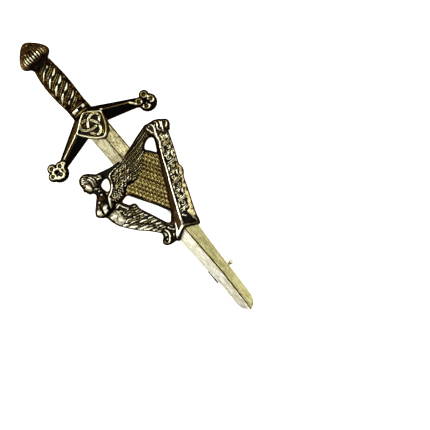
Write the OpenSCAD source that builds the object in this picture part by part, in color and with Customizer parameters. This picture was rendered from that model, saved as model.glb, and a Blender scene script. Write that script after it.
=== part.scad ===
// Kilt pin: a cast sword with a winged-maiden harp across its blade,
// a hinged stem and a rotating safety catch behind it.
// X runs across the sword, Y from the blade's tip to the pommel, Z up from the surface
// that the pin lies on, with its face up.

/* [Overall] */
// Length from the pommel's top to the blade's tip
pin_len = 100; // [96:1:125]
// Height of the fittings behind the flat back
fitting_h = 4.6; // [4.4:0.1:6]

/* [Hilt] */
// Diameter of the pommel
pommel_d = 9.9; // [8:0.1:11]
// Length of the pommel
pommel_len = 8.1; // [7:0.1:10]
// Height of the pommel's axis over the flat back
pommel_lift = 1.5; // [1:0.1:2.5]
// Number of upright reeds round the pommel
reed_count = 28; // [16:2:36]
// How far a reed stands out of the pommel
reed_h = 0.25; // [0.1:0.05:0.4]
// Length of the grip
grip_len = 15.7; // [13:0.1:20]
// Width of the grip at its swell
grip_w = 7; // [5:0.1:9]
// Height of the grip over the flat back
grip_h = 3.4; // [2.5:0.1:4.5]
// Number of twisted strands that show on the grip
strand_count = 6; // [4:1:8]
// How far a strand stands out of the grip
strand_h = 0.45; // [0.2:0.05:0.7]
// Length of the collar below the grip
collar_len = 2.3; // [1.5:0.1:3.5]
// Width of the collar
collar_w = 6.3; // [5:0.1:8]

/* [Guard] */
// Width over both ends of the guard
guard_span = 39; // [34:0.5:46]
// How far the ends' centres lie below the guard's top
guard_drop = 8.4; // [7:0.1:10]
// Width of an arm at the sword
arm_root_w = 6.4; // [5:0.1:7.5]
// Width of an arm where it meets its end
arm_end_w = 3.1; // [2.4:0.1:4]
// Height of an arm's ridge over the flat back
arm_h = 3; // [2.4:0.1:4]
// Radius of one lobe of a guard end
lobe_r = 1.6; // [1.2:0.05:2]
// Distance of a lobe's centre from the centre of its guard end
lobe_off = 1.8; // [1.4:0.05:2.2]
// Height of a lobe over the flat back
lobe_h = 3.2; // [2.6:0.1:4]

/* [Shield] */
// Width of the shield
shield_w = 9.8; // [8:0.1:12]
// Length of the shield
shield_len = 9.6; // [8:0.1:11]
// Height of the shield's rim over the flat back
shield_h = 4.1; // [3.5:0.1:5]
// Width of the shield's rim
rim_w = 0.8; // [0.5:0.05:1.2]
// Depth of the shield's field below its rim
field_depth = 0.7; // [0.4:0.05:1]
// Width of the knot's band
band_w = 0.8; // [0.5:0.05:1]

/* [Blade] */
// Width of the blade at the guard
blade_w = 7; // [5.5:0.1:8]
// Height of the blade's middle over the flat back
blade_h = 2.2; // [1.8:0.1:3]
// How far the blade is set over from the grip's axis
blade_x = 0.7; // [0:0.1:1]

/* [Harp] */
// Width of the harp, from the figure's breast to the scroll
harp_w = 33.6; // [30:0.1:38]
// Length of the harp, from the figure's hair to the foot's points
harp_len = 32.4; // [30:0.1:36]
// Distance from the guard's top to the harp's top
harp_gap = 13.4; // [12:0.1:15]
// Height of the figure's body over the flat back
figure_h = 3.6; // [3:0.1:4.5]
// Height of the figure's head over the flat back
head_h = 4.2; // [3.5:0.1:5]
// Height of the volute under the figure over the flat back
volute_h = 3; // [2.5:0.1:3.6]
// Height of the wing's feathers over the flat back
wing_h = 2.9; // [2.4:0.1:3.6]
// Height of the wing's leading edge over the flat back
lead_h = 3.3; // [2.8:0.1:4]
// Thickness of the web behind the feathers
wing_web_t = 1.9; // [1.4:0.1:2.3]
// Height of the pillar's ridge over the flat back
pillar_h = 3.6; // [3:0.1:4.5]
// Height of the scrolls over the flat back
scroll_h = 4; // [3.4:0.1:5]
// Distance between two strings, measured across them
string_pitch = 1.15; // [0.9:0.05:1.6]
// Height of a string over the flat back
string_h = 2; // [1.6:0.1:2.6]
// Thickness of the web behind the strings
string_web_t = 1.4; // [1:0.1:1.8]
// Height of the harp's foot over the flat back
foot_h = 2.4; // [2:0.1:3]

/* [Hinge and stem] */
// How far the hinge's rivet lies below the guard's top
hinge_drop = 4; // [3:0.1:6]
// How far the stem is set over from the blade's middle
stem_set = 0.3; // [-0.3:0.1:0.6]
// Diameter of the stem's wire
stem_d = 1.15; // [0.9:0.05:1.3]
// Length of the stem's sharp cone
point_len = 4; // [2.5:0.1:6]
// How far the point reaches past the catch
point_past = 1.2; // [0.5:0.1:2]
// Diameter of the rivet
rivet_d = 0.84; // [0.6:0.02:1]
// Diameter of a rivet's head
rivet_head_d = 1.6; // [1.3:0.1:2]
// Thickness of a rivet's head
rivet_head_t = 0.3; // [0.2:0.05:0.5]
// Radius of an ear, which is also the height of the rivet over the surface
ear_r = 2.1; // [1.9:0.05:2.3]
// Thickness of an ear
ear_t = 1; // [0.7:0.05:1.4]
// Width between the ears
ear_gap = 1.4; // [1.2:0.05:1.8]
// Length of the hinge's foot
bracket_len = 5.4; // [4.6:0.1:7]
// Radius of the stem's eye
eye_r = 1.1; // [0.9:0.05:1.2]

/* [Catch] */
// How far the catch's middle lies from the blade's tip
catch_from_tip = 14; // [12:0.1:16]
// Width of the catch
catch_w = 5.8; // [5.4:0.1:7]
// Thickness of one flange of the catch
flange_t = 1.25; // [0.9:0.05:1.6]
// Width between the flanges
flange_gap = 1.8; // [1.5:0.05:2.4]
// Radius of a flange's outer corners
flange_corner_r = 1.3; // [0.8:0.1:1.4]
// Radius of the rotor's disc
disc_r = 1.75; // [1.65:0.05:1.8]
// Radius of the rotor's journals
journal_r = 1.3; // [1.15:0.05:1.35]
// Width of the mouth that the stem drops through
mouth_w = 1.45; // [1.4:0.05:1.6]
// Distance from the rotor's axis to the end of its lever
lever_len = 4.6; // [4.2:0.1:6]
// Thickness of the lever
lever_t = 1; // [0.8:0.05:1.3]

/* [Hidden] */

// Gap between a fitting's foot and the flat back
seat_gap = 0.05;
// Gap round the rivet in the ears, round it in the eye, and at each side of the eye
rivet_gap = 0.02;
eye_gap = 0.05;
side_gap = 0.06;
// Gap round the rotor's journals and at each side of its disc
rotor_gap = 0.05;
// Thickness of the fittings' feet
foot_t = 0.7;
// Overlap of a cut beyond the face that it opens
cut = 1;
// Number of sides on the fittings' round parts, and on the cast ones
fine = 48;
coarse = 14;

// Levels along the sword
top_y = pin_len/2;
tip_y = -pin_len/2;
neck_y = top_y - pommel_len;
collar_y = neck_y - grip_len;
guard_y = collar_y - collar_len;
harp_y = guard_y - harp_gap;
hinge_y = guard_y - hinge_drop;
catch_y = tip_y + catch_from_tip;
// Line of the stem, and the plane of the flat back
stem_x = blade_x + stem_set;
stem_z = ear_r;
back_z = fitting_h;
catch_len = 2*flange_t + flange_gap;

// Sections of a cast ridge: share of its half width, share of its height
ROUND = [[-1, 0], [-0.92, 0.45], [-0.6, 0.82], [0, 1], [0.6, 0.82], [0.92, 0.45], [1, 0]];
THIN = [[-1, 0], [-0.75, 0.75], [0, 1], [0.75, 0.75], [1, 0]];
EDGED = [[-1, 0], [-1, 0.35], [0, 1], [1, 0.35], [1, 0]];
GROOVED = [[-1, 0], [-1, 0.5], [-0.07, 1], [0, 0.8], [0.07, 1], [1, 0.5], [1, 0]];

// Outline of the pommel: share of its radius, share of its length from the neck, share of a
// reed's height
POMMEL = [[0.56, 0, 0], [0.66, 0.04, 0], [0.9, 0.17, 0.2], [1, 0.32, 1], [0.97, 0.44, 1],
    [0.82, 0.6, 0.8], [0.6, 0.73, 0], [0.4, 0.85, 0], [0.2, 0.95, 0], [0.06, 1, 0]];
// Swell of the grip: share of its length from the neck, share of its width, share of its height
GRIP = [[-0.03, 0.8, 0.85], [0.12, 0.9, 0.95], [0.28, 0.97, 1], [0.45, 1, 1], [0.62, 0.97, 1],
    [0.8, 0.9, 0.95], [1.03, 0.84, 0.9]];
// Right half of the shield: share of its half width, share of its length from the top
SHIELD = [[0, 0], [0.55, 0.12], [1, 0.34], [0.93, 0.5], [0.72, 0.74], [0.42, 0.9], [0, 1]];
// Lower blade: share of its length from the foot, share of the blade's width, set-over as a
// share of that width, share of its height
BLADE = [[0, 1, 0.09, 1], [0.19, 0.95, 0.08, 1], [0.36, 0.87, 0.065, 1], [0.52, 0.8, 0.08, 1],
    [0.68, 0.73, 0.08, 1], [0.84, 0.71, 0.045, 1], [0.92, 0.66, 0.05, 0.95],
    [0.97, 0.43, 0.02, 0.85], [0.99, 0.2, 0.01, 0.7], [1, 0.06, 0.01, 0.6]];

// The harp's tables are in hundredths of its width, from the left, and of its length, from the top.
// Figure from neck to ankle: across, down, half width, share of the figure's height
BODY = [[15.5, 17, 3.4, 0.9], [14.6, 26, 5.4, 0.95], [12.2, 34.5, 11, 1], [15, 41.5, 9.4, 0.95],
    [17.5, 47, 9.6, 0.9], [21, 52.5, 11.6, 0.95], [24.8, 60, 10.3, 0.95], [29.5, 68, 8.4, 0.9],
    [34, 75, 6.9, 0.9], [38.2, 82, 5.8, 0.85], [39.5, 90, 4.6, 0.8]];
// Domes of the figure: across, down, half width, half length, height as a share
HEAD = [[13, 9.5, 7.4, 9.3, 1], [20.5, 9.6, 8.2, 5.4, 0.8], [7, 12.5, 2.4, 2.6, 0.75]];
BREASTS = [[6.5, 36, 6, 4.8, 1.05], [14, 36.5, 5.4, 4.6, 1.1]];
// Bands of hair: from across and down, to across and down
HAIR = [[8, 5.5, 17, 13], [12, 2.5, 21, 9.5], [7, 9, 13, 16.5]];
// Half width of a band of hair at its start, middle and end, and its height as a share there
HAIR_W = [1.2, 1.5, 1.2];
HAIR_RISE = [0.8, 1.05, 0.85];
// Folds of the drapery: how far down the first lies, the step, the last; and a fold's half width
FOLDS = [53, 5, 83];
FOLD_W = 1.3;
// Web of the wing, clockwise from the hair
WING = [[25.5, 7.5], [33, 10], [39.5, 11], [48, 11.5], [53, 11], [63.5, 8], [70, 6], [77.5, 3],
    [84, 2.5], [84, 9], [80.5, 15], [77.5, 13], [73, 14], [69, 17.5], [66, 19.5], [61.5, 22],
    [59, 26], [53, 30], [48.5, 33], [42, 33.5], [36, 33], [31.5, 37], [25, 38.5], [18, 37],
    [16, 28], [21, 25.5], [24, 25.5], [26.5, 22.5], [28, 18.5], [27, 16], [22, 15]];
// Leading edge of the wing: across, down
LEAD = [[17, 33], [20, 29.8], [25.5, 27], [29, 22.5], [30.8, 17.5], [34, 15.2], [42, 14], [51, 13.2]];
// Long feathers: four places from root to tip, each across and down
FEATHERS = [
    [[33, 12.8], [51, 12.2], [66, 8.8], [81, 4.6]],
    [[35, 16.5], [51, 15.5], [64.5, 12.4], [77, 7.6]],
    [[35, 19.5], [51, 18.4], [63, 16.2], [71, 12.8]],
    [[34, 22.5], [49.5, 21.8], [60, 20.2], [67, 17.2]],
    [[33, 25.6], [48, 25.2], [57, 24], [62.5, 21.4]],
    [[32, 28.6], [46.5, 28.6], [54, 28], [59, 25.6]],
    [[30, 31.6], [42, 31.8], [49.5, 31.4], [54.5, 29]]];
// Half widths of the leading edge, of a long feather at its four places, and of a small feather
LEAD_W = 1.5;
FEATHER_W = [1.5, 1.7, 1.5, 0.7];
COVERT_W = 2;
// Small feathers at the shoulder: across, down
COVERTS = [[21, 33.5], [24.6, 30.5], [25.5, 34.5], [28.4, 27.5], [29.2, 31.5], [31.4, 23.5],
    [32.4, 19.5], [29.6, 35]];
// Field of strings, clockwise from the wing's corner
STRINGS = [[31.5, 38], [36, 31], [50, 26], [66, 17], [69.5, 17.5], [76, 27.5], [71, 39.5],
    [64, 54], [57, 69], [51.8, 74.8]];
// Pillar: down, then the inner edge, the ridge and the outer edge across
PILLAR = [[11.8, 81, 83.5, 97], [17.5, 80, 82.5, 94.5], [28, 75, 78.5, 91],
    [39.5, 69, 73.5, 86.5], [54, 61.5, 67.5, 81], [69.5, 54, 60, 75.5], [80, 46.5, 55, 71],
    [93, 45.5, 49, 66.5]];
// Heights of the pillar's bevel and face, as shares, and the width of its soft edges in mm
BEVEL_RISE = 0.5;
FACE_RISE = 0.8;
EDGE_W = 0.4;
// Scrolls on the pillar's face: down to the first, step and count; their places and their radius
// as shares of the face's width
BOSSES = [24, 8.6, 8];
BOSS_AT = [0.42, 0.62];
BOSS_R = 0.28;
// Chevron over the blade: its middle and its two ends, each across, down, half width
CHEVRON = [51.5, 92.6, 2.6];
CHEVRON_ENDS = [[42, 98.2, 1.2], [63, 97.8, 1.2]];
// Foot of the harp, clockwise from the volute
FOOT = [[38.5, 97], [41, 100], [51.5, 95], [63.5, 99.5], [66.5, 93], [67, 86.5], [60, 80],
    [46.5, 81], [39, 85]];
// Scrolls on top of the pillar: across, down, radius
CROWN = [[84.8, 7.6, 5.6], [91, 8.8, 5.4], [95.2, 12.4, 4.7]];
// Volute under the figure: across, down, radius
VOLUTE = [34.4, 91.6, 5.3];
// Bump on the pillar's outer edge: across, down, radius
BUMP = [80.8, 53, 3.4];
// Lean of the strings from the sword's axis, and turn of a guard end's first lobe, in degrees
STRING_LEAN = 27.5;
LOBE_TURN = -25;

function unit(v) = v/norm(v);
function across(u) = blade_x + (u/100 - 0.5)*harp_w;
function down(v) = harp_y - v/100*harp_len;
function spread(s) = s/100*harp_w;
function spot(p) = [across(p[0]), down(p[1])];
function column(table, key, value) = [for (row = table) [row[key], row[value]]];

// Closed skin over rings, each with the same number of points
module loft(rings) {
    n = len(rings[0]);
    last = len(rings) - 1;
    sides = [for (i = [0:last - 1], j = [0:n - 1])
        let (a = i*n + j, b = i*n + (j + 1)%n)
        each [[a, b, b + n], [a, b + n, a + n]]];
    ends = [[for (j = [n - 1:-1:0]) j], [for (j = [0:n - 1]) last*n + j]];
    polyhedron([for (ring = rings) each ring], concat(sides, ends));
}

// Cast ridge on the flat back; a row holds x, y, half width and height
module bar(rows, section = ROUND) {
    last = len(rows) - 1;
    loft([for (i = [0:last])
        let (a = rows[max(i - 1, 0)], b = rows[min(i + 1, last)],
            along = unit([b[0] - a[0], b[1] - a[1]]))
        [for (s = section) [
            rows[i][0] - along[1]*s[0]*rows[i][2],
            rows[i][1] + along[0]*s[0]*rows[i][2],
            back_z + s[1]*rows[i][3]]]]);
}

// Cast plate on the flat back
module plate(points, height) {
    translate([0, 0, back_z])
        linear_extrude(height)
            polygon(points);
}

// Cast dome on the flat back
module dome(place, half_w, half_len, height, sides = coarse) {
    translate([place[0], place[1], back_z])
        scale([half_w, half_len, height])
            rotate_extrude($fn = sides)
                polygon([[0, 0], [1, 0], [0.9, 0.5], [0.55, 0.87], [0, 1]]);
}

// Cast scroll: a dome with a raised ring round a sunk eye
module scroll(place, r, height, sides = coarse) {
    translate([place[0], place[1], back_z])
        rotate_extrude($fn = sides)
            polygon([[0, 0], [r, 0], [r, height*0.7], [r*0.76, height], [r*0.38, height*0.78],
                [0, height*0.9]]);
}

module pommel() {
    core_r = pommel_d/2 - reed_h;
    sides = 2*reed_count;
    color("saddlebrown")
        translate([0, neck_y, back_z + pommel_lift])
            rotate([-90, 0, 0])
                loft([for (p = POMMEL)
                    [for (i = [sides - 1:-1:0])
                        let (r = p[0]*core_r + (i%2)*p[2]*reed_h, turn = i*360/sides)
                        [r*cos(turn), r*sin(turn), p[1]*pommel_len]]]);
}

module grip() {
    pitch = grip_len/strand_count;
    color("peru") {
        bar([for (g = GRIP) [0, neck_y - g[0]*grip_len, g[1]*grip_w/2, g[2]*grip_h]]);
        for (i = [0:strand_count - 1])
            strand(neck_y - (i + 0.85)*pitch, pitch);
    }
}

// One strand that rises from left to right over the grip
module strand(y, pitch) {
    // Share of the grip's half width, share of the height under the strand
    rise = [[-0.82, 0.5], [-0.6, 0.8], [0, 1], [0.6, 0.8], [0.82, 0.5]];
    bar([for (r = rise)
        [r[0]*grip_w/2, y + r[0]*pitch/2, pitch*0.24, r[1]*grip_h + strand_h*(1 - abs(r[0])/2)]], THIN);
}

module collar() {
    // Share of the collar's length, and how far it stands out there
    steps = [[0, -0.3], [0.2, 0], [0.5, -0.2], [0.8, 0], [1, -0.3], [1.5, -0.3]];
    color("darkgoldenrod")
        bar([for (s = steps) [0, collar_y - s[0]*collar_len, collar_w/2 + s[1], grip_h + s[1]/2]]);
}

// One arm of the guard and its end, on the right
module guard_arm() {
    centre = [guard_span/2 - lobe_off*cos(LOBE_TURN) - lobe_r, guard_y - guard_drop];
    // Upper edge, ridge and lower edge at the sword and where the arm meets its end
    root = [guard_y, guard_y - arm_root_w*0.33, guard_y - arm_root_w];
    end = [for (s = [0.75, 0.45, -0.2]) centre[1] + s*arm_end_w];
    color("sienna")
        loft([
            arm_ring(-collar_w/6, root, arm_h*1.1),
            arm_ring(collar_w/2, root, arm_h*1.1),
            arm_ring(centre[0] - lobe_off - lobe_r/2, end, arm_h),
            arm_ring(centre[0], end, arm_h*0.8)]);
    color("goldenrod")
        quatrefoil(centre);
}

function arm_ring(x, edges, height) = [
    [x, edges[2], back_z], [x, edges[2], back_z + height*0.25],
    [x, edges[1], back_z + height],
    [x, edges[0], back_z + height*0.45], [x, edges[0], back_z]];

module quatrefoil(centre) {
    middle_r = lobe_off + lobe_r/2;
    for (i = [0:3])
        let (turn = LOBE_TURN + i*90)
            scroll(centre + lobe_off*[cos(turn), sin(turn)], lobe_r, lobe_h);
    dome(centre - [0, lobe_r*0.4], middle_r, middle_r, lobe_h*0.9);
}

module shield() {
    half = [for (p = SHIELD) [p[0]*shield_w/2, -p[1]*shield_len]];
    outline = concat(half, [for (i = [len(half) - 2:-1:1]) [-half[i][0], half[i][1]]]);
    color("gold")
        translate([blade_x/4, guard_y, back_z]) {
            difference() {
                linear_extrude(shield_h)
                    polygon(outline);
                translate([0, 0, shield_h - field_depth])
                    linear_extrude(field_depth + cut)
                        offset(delta = -rim_w)
                            polygon(outline);
            }
            translate([0, -shield_len*0.44, shield_h - field_depth])
                knot(shield_w*0.15);
        }
}

// Three looped bands round a middle ring
module knot(loop_r) {
    for (i = [0:2])
        rotate([0, 0, 90 + i*120])
            translate([loop_r*1.05, 0, 0])
                rotate_extrude($fn = coarse)
                    translate([loop_r, 0])
                        circle(band_w/2, $fn = 6);
}

module blade() {
    // The upper stretch runs from under the shield to the wing
    upper = [[0.3, 1, -0.01], [0.9, 1, -0.01], [1.4, 1, 0]];
    foot_y = down(93);
    color("palegoldenrod") {
        bar([for (b = upper)
            [blade_x + b[2]*blade_w, guard_y - b[0]*harp_gap, b[1]*blade_w/2, blade_h]], GROOVED);
        bar([for (b = BLADE)
            [blade_x + b[2]*blade_w, foot_y + b[0]*(tip_y - foot_y), b[1]*blade_w/2, b[3]*blade_h]],
            GROOVED);
    }
}

module figure() {
    color("darkkhaki") {
        bar([for (b = BODY) [across(b[0]), down(b[1]), spread(b[2]), b[3]*figure_h]]);
        for (b = BREASTS)
            dome(spot(b), spread(b[2]), spread(b[3]), b[4]*figure_h);
        for (h = HEAD)
            dome(spot(h), spread(h[2]), spread(h[3]), h[4]*head_h);
        for (h = HAIR)
            bar([for (i = [0:2])
                [across(h[0] + i*(h[2] - h[0])/2), down(h[1] + i*(h[3] - h[1])/2),
                    spread(HAIR_W[i]), HAIR_RISE[i]*head_h]], THIN);
        for (v = [FOLDS[0]:FOLDS[1]:FOLDS[2]])
            fold(v);
        scroll(spot(VOLUTE), spread(VOLUTE[2]), volute_h);
    }
}

// One fold of the drapery, a ridge across the skirt at a depth down the harp
module fold(v) {
    middle = lookup(v, column(BODY, 1, 0));
    half = lookup(v, column(BODY, 1, 2));
    // Share of the skirt's half width, step down, share of the figure's height
    rise = [[-0.8, -1.5, 0.7], [-0.3, -0.5, 1.04], [0.3, 1, 1.02], [0.8, 2.5, 0.65]];
    bar([for (r = rise)
        [across(middle + r[0]*half), down(v + r[1]), spread(FOLD_W), r[2]*figure_h]], THIN);
}

module wing() {
    color("burlywood") {
        plate([for (p = WING) spot(p)], wing_web_t);
        bar([for (p = LEAD) [across(p[0]), down(p[1]), spread(LEAD_W), lead_h]]);
        for (f = FEATHERS)
            bar([for (i = [0:3])
                [across(f[i][0]), down(f[i][1]), spread(FEATHER_W[i]), wing_h]], THIN);
        for (c = COVERTS)
            dome(spot(c), spread(COVERT_W), spread(COVERT_W), wing_h, 8);
    }
}

module strings() {
    field = [for (p = STRINGS) spot(p)];
    reach = norm([harp_w, harp_len]);
    steps = ceil(harp_w/2/string_pitch);
    color("tan") {
        plate(field, string_web_t);
        intersection() {
            plate(field, string_h + cut);
            for (i = [-steps:steps])
                translate([across(50), down(45), 0])
                    rotate([0, 0, STRING_LEAN])
                        translate([(i + 0.5)*string_pitch, 0, 0])
                            bar([for (s = [-1, 1]) [0, s*reach/2, string_pitch*0.42, string_h]], THIN);
        }
    }
}

module pillar() {
    color("khaki") {
        loft([for (p = PILLAR) pillar_ring(across(p[1]), across(p[2]), across(p[3]), down(p[0]))]);
        for (i = [0:BOSSES[2] - 1])
            boss(BOSSES[0] + i*BOSSES[1], BOSS_AT[i%2]);
        scroll(spot(BUMP), spread(BUMP[2]), pillar_h*BEVEL_RISE, 8);
        for (c = CROWN)
            scroll(spot(c), spread(c[2]), scroll_h);
    }
}

// Level section of the pillar: a bevel up to the ridge, then a sunk face with a soft outer edge
function pillar_ring(inner, ridge, outer, y) = [
    [inner, y, back_z], [inner, y, back_z + BEVEL_RISE*pillar_h],
    [ridge, y, back_z + pillar_h],
    [ridge + EDGE_W, y, back_z + FACE_RISE*pillar_h],
    [outer - EDGE_W, y, back_z + FACE_RISE*pillar_h],
    [outer, y, back_z + BEVEL_RISE*pillar_h], [outer, y, back_z]];

// Scroll on the pillar's face, at a depth down the harp and a share of the face's width
module boss(v, at) {
    ridge = lookup(v, column(PILLAR, 0, 2));
    outer = lookup(v, column(PILLAR, 0, 3));
    scroll([across(ridge + (outer - ridge)*at), down(v)], spread((outer - ridge)*BOSS_R), pillar_h, 8);
}

module harp_foot() {
    color("khaki") {
        plate([for (p = FOOT) spot(p)], foot_h);
        for (end = CHEVRON_ENDS)
            bar([
                [across(CHEVRON[0]), down(CHEVRON[1]), spread(CHEVRON[2]), pillar_h],
                [across(end[0]), down(end[1]), spread(end[2]), foot_h + field_depth]], EDGED);
    }
}

module casting() {
    pommel();
    grip();
    collar();
    for (side = [0, 1])
        mirror([side, 0, 0])
            guard_arm();
    shield();
    blade();
    figure();
    wing();
    strings();
    pillar();
    harp_foot();
}

// Round bar along X, centred on the stem's line
module cross_bar(r, length) {
    translate([stem_x - length/2, hinge_y, stem_z])
        rotate([0, 90, 0])
            cylinder(r = r, h = length, $fn = fine);
}

// Round bar along Y on the stem's line, centred on the catch
module catch_bar(r, length) {
    translate([stem_x, catch_y + length/2, stem_z])
        rotate([90, 0, 0])
            cylinder(r = r, h = length, $fn = fine);
}

// Slot from the stem's line out through the mouth
module mouth(width, length) {
    catch_bar(width/2, length);
    translate([stem_x - width/2, catch_y - length/2, -cut])
        cube([width, length, stem_z + cut]);
}

module hinge_bracket() {
    width = ear_gap + 2*ear_t;
    foot_z = back_z - seat_gap - foot_t;
    color("dimgray")
        difference() {
            union() {
                translate([stem_x - width/2, hinge_y - bracket_len/2, foot_z])
                    cube([width, bracket_len, foot_t]);
                cross_bar(ear_r, width);
                translate([stem_x - width/2, hinge_y - ear_r, stem_z])
                    cube([width, 2*ear_r, foot_z - stem_z + foot_t/2]);
            }
            translate([stem_x - ear_gap/2, hinge_y - bracket_len, -cut])
                cube([ear_gap, 2*bracket_len, foot_z + cut]);
            cross_bar(rivet_d/2 + rivet_gap, width + 2*cut);
        }
}

module hinge_rivet() {
    width = ear_gap + 2*ear_t + 2*rivet_gap;
    color("gray") {
        cross_bar(rivet_d/2, width + rivet_head_t);
        for (side = [-1, 1])
            translate([side*(width + rivet_head_t)/2, 0, 0])
                cross_bar(rivet_head_d/2, rivet_head_t);
    }
}

module pin_stem() {
    point_y = catch_y - catch_len/2 - point_past;
    color("silver")
        difference() {
            union() {
                cross_bar(eye_r, ear_gap - 2*side_gap);
                translate([stem_x, hinge_y - eye_r/2, stem_z])
                    rotate([90, 0, 0])
                        cylinder(d = stem_d, h = hinge_y - eye_r/2 - point_y - point_len, $fn = fine);
                translate([stem_x, point_y + point_len, stem_z])
                    rotate([90, 0, 0])
                        cylinder(d1 = stem_d, d2 = stem_d/8, h = point_len, $fn = fine);
            }
            cross_bar(rivet_d/2 + eye_gap, ear_gap + 2*cut);
        }
}

// Outline of a flange in the XZ plane, as a bar along Y
module flange_block(length) {
    inner_w = catch_w - 2*flange_corner_r;
    top_z = back_z - seat_gap;
    translate([stem_x - catch_w/2, catch_y - length/2, flange_corner_r])
        cube([catch_w, length, top_z - flange_corner_r]);
    translate([stem_x - inner_w/2, catch_y - length/2, 0])
        cube([inner_w, length, top_z]);
    for (side = [-1, 1])
        translate([side*inner_w/2, 0, flange_corner_r - stem_z])
            catch_bar(flange_corner_r, length);
}

module catch_housing() {
    rail_w = 0.7;
    slot_w = catch_w - 2*rail_w;
    color("dimgray")
        difference() {
            flange_block(catch_len);
            // Slot that the disc and its lever turn in
            translate([stem_x - catch_w, catch_y - flange_gap/2, -cut])
                cube([2*catch_w, flange_gap, back_z - seat_gap - foot_t + cut]);
            translate([stem_x - slot_w/2, catch_y - flange_gap/2, -cut])
                cube([slot_w, flange_gap, back_z + 2*cut]);
            catch_bar(journal_r + rotor_gap, catch_len + 2*cut);
            mouth(mouth_w, catch_len + 2*cut);
        }
}

module catch_rotor() {
    lobe = lever_t*0.62;
    color("darkgoldenrod")
        difference() {
            union() {
                catch_bar(disc_r, flange_gap - 2*rotor_gap);
                catch_bar(journal_r, catch_len);
                translate([stem_x, catch_y - lever_t/2, stem_z - lever_t/2])
                    cube([lever_len - lobe, lever_t, lever_t]);
                for (side = [-1, 1])
                    translate([stem_x + lever_len - lobe, catch_y, stem_z + side*lobe*0.6])
                        sphere(lobe, $fn = fine);
            }
            mouth(mouth_w, catch_len + 2*cut);
        }
}

casting();
hinge_bracket();
hinge_rivet();
pin_stem();
catch_housing();
catch_rotor();
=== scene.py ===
import math

import bmesh
import bpy
import numpy as np
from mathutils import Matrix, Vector


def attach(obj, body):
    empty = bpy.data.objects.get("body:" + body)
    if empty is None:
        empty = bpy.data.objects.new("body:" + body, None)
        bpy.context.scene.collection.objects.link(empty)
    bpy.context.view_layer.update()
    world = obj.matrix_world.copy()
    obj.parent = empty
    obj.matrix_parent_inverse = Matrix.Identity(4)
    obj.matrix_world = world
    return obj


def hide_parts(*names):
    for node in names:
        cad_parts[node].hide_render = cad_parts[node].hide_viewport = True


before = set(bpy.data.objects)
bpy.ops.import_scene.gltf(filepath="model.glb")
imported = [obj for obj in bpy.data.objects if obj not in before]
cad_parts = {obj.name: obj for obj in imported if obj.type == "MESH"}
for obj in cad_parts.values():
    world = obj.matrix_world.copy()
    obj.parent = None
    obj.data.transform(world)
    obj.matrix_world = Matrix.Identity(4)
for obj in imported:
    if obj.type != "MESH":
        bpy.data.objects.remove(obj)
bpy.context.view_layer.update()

# The blade

# The blade is one bar with a flat back, cast in one with the rest of the sword and brushed
# lengthwise. A fine fuller runs down its middle between two beaded edges. The harp covers it
# from the wing to the foot, so it shows as an upper and a lower stretch.

MM = 0.001
BACK_Z = 4.6  # level of the flat back over the surface that the pin lies on
GRAIN = 0.1  # spacing of the carver's grid
BROAD_FORM = 0.7  # fine relief is what stands out of its surroundings within this reach


def from_line(x, y, path):
    """Distance from a line of points, length along it there, the side (left is +) and its length."""
    path = np.asarray(path, float)
    gap = np.full(x.shape, 1e9)
    along = np.zeros(x.shape)
    side = np.ones(x.shape)
    done = 0.0
    for a, b in zip(path[:-1], path[1:]):
        run = b - a
        length = max(math.hypot(*run), 1e-9)
        t = np.clip(((x - a[0]) * run[0] + (y - a[1]) * run[1]) / length**2, 0, 1)
        dx, dy = x - a[0] - t * run[0], y - a[1] - t * run[1]
        reach = np.hypot(dx, dy)
        closer = reach < gap
        gap = np.where(closer, reach, gap)
        along = np.where(closer, done + t * length, along)
        side = np.where(closer, np.where(run[0] * dy - run[1] * dx < 0, -1.0, 1.0), side)
        done += length
    return gap, along, side, done


def inside_of(x, y, outline):
    """Distance inside a closed outline, below nothing outside it."""
    ring = np.vstack([outline, outline[:1]])
    gap = from_line(x, y, ring)[0]
    odd = np.zeros(x.shape, bool)
    for a, b in zip(ring[:-1], ring[1:]):
        if a[1] != b[1]:
            meets = ((a[1] > y) != (b[1] > y)) & (x < a[0] + (y - a[1]) * (b[0] - a[0]) / (b[1] - a[1]))
            odd ^= meets
    return np.where(odd, gap, -gap)


def flowing(points, parts=5, closed=False):
    """Smooth line through the points."""
    p = np.asarray(points, float)
    if closed:
        p = np.vstack([p[-1:], p, p[:2]])
    else:
        p = np.vstack([2 * p[:1] - p[1:2], p, 2 * p[-1:] - p[-2:-1]])
    out = []
    for i in range(1, len(p) - 2):
        for k in range(parts):
            t = k / parts
            out.append(0.5 * (2 * p[i] + (p[i + 1] - p[i - 1]) * t
                              + (2 * p[i - 1] - 5 * p[i] + 4 * p[i + 1] - p[i + 2]) * t * t
                              + (3 * p[i] - p[i - 1] - 3 * p[i + 1] + p[i + 2]) * t**3))
    if not closed:
        out.append(p[-2])
    return np.array(out)


def blurred(values, weight, cells):
    """Mean of the values within about that many cells, over the places that have weight."""
    def once(a, axis):
        pad = [(0, 0), (0, 0)]
        pad[axis] = (cells + 1, cells)
        total = np.cumsum(np.pad(a, pad, mode="edge"), axis=axis)
        n = a.shape[axis]
        hi = np.take(total, np.arange(n) + 2 * cells + 1, axis=axis)
        lo = np.take(total, np.arange(n), axis=axis)
        return (hi - lo) / (2 * cells + 1)
    top, low = values * weight, weight.astype(float)
    for _ in range(2):
        for axis in (0, 1):
            top, low = once(top, axis), once(low, axis)
    return top / np.maximum(low, 1e-6)


# Sections of a raised form: its height from its middle, at 0, to its foot, at 1
ROUND = lambda t: np.sqrt(np.clip(1 - t * t, 0, 1))
ARCH = lambda t: np.clip(1 - t * t, 0, 1)
SOFT = lambda t: 0.5 + 0.5 * np.cos(np.pi * np.clip(t, 0, 1))


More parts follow.
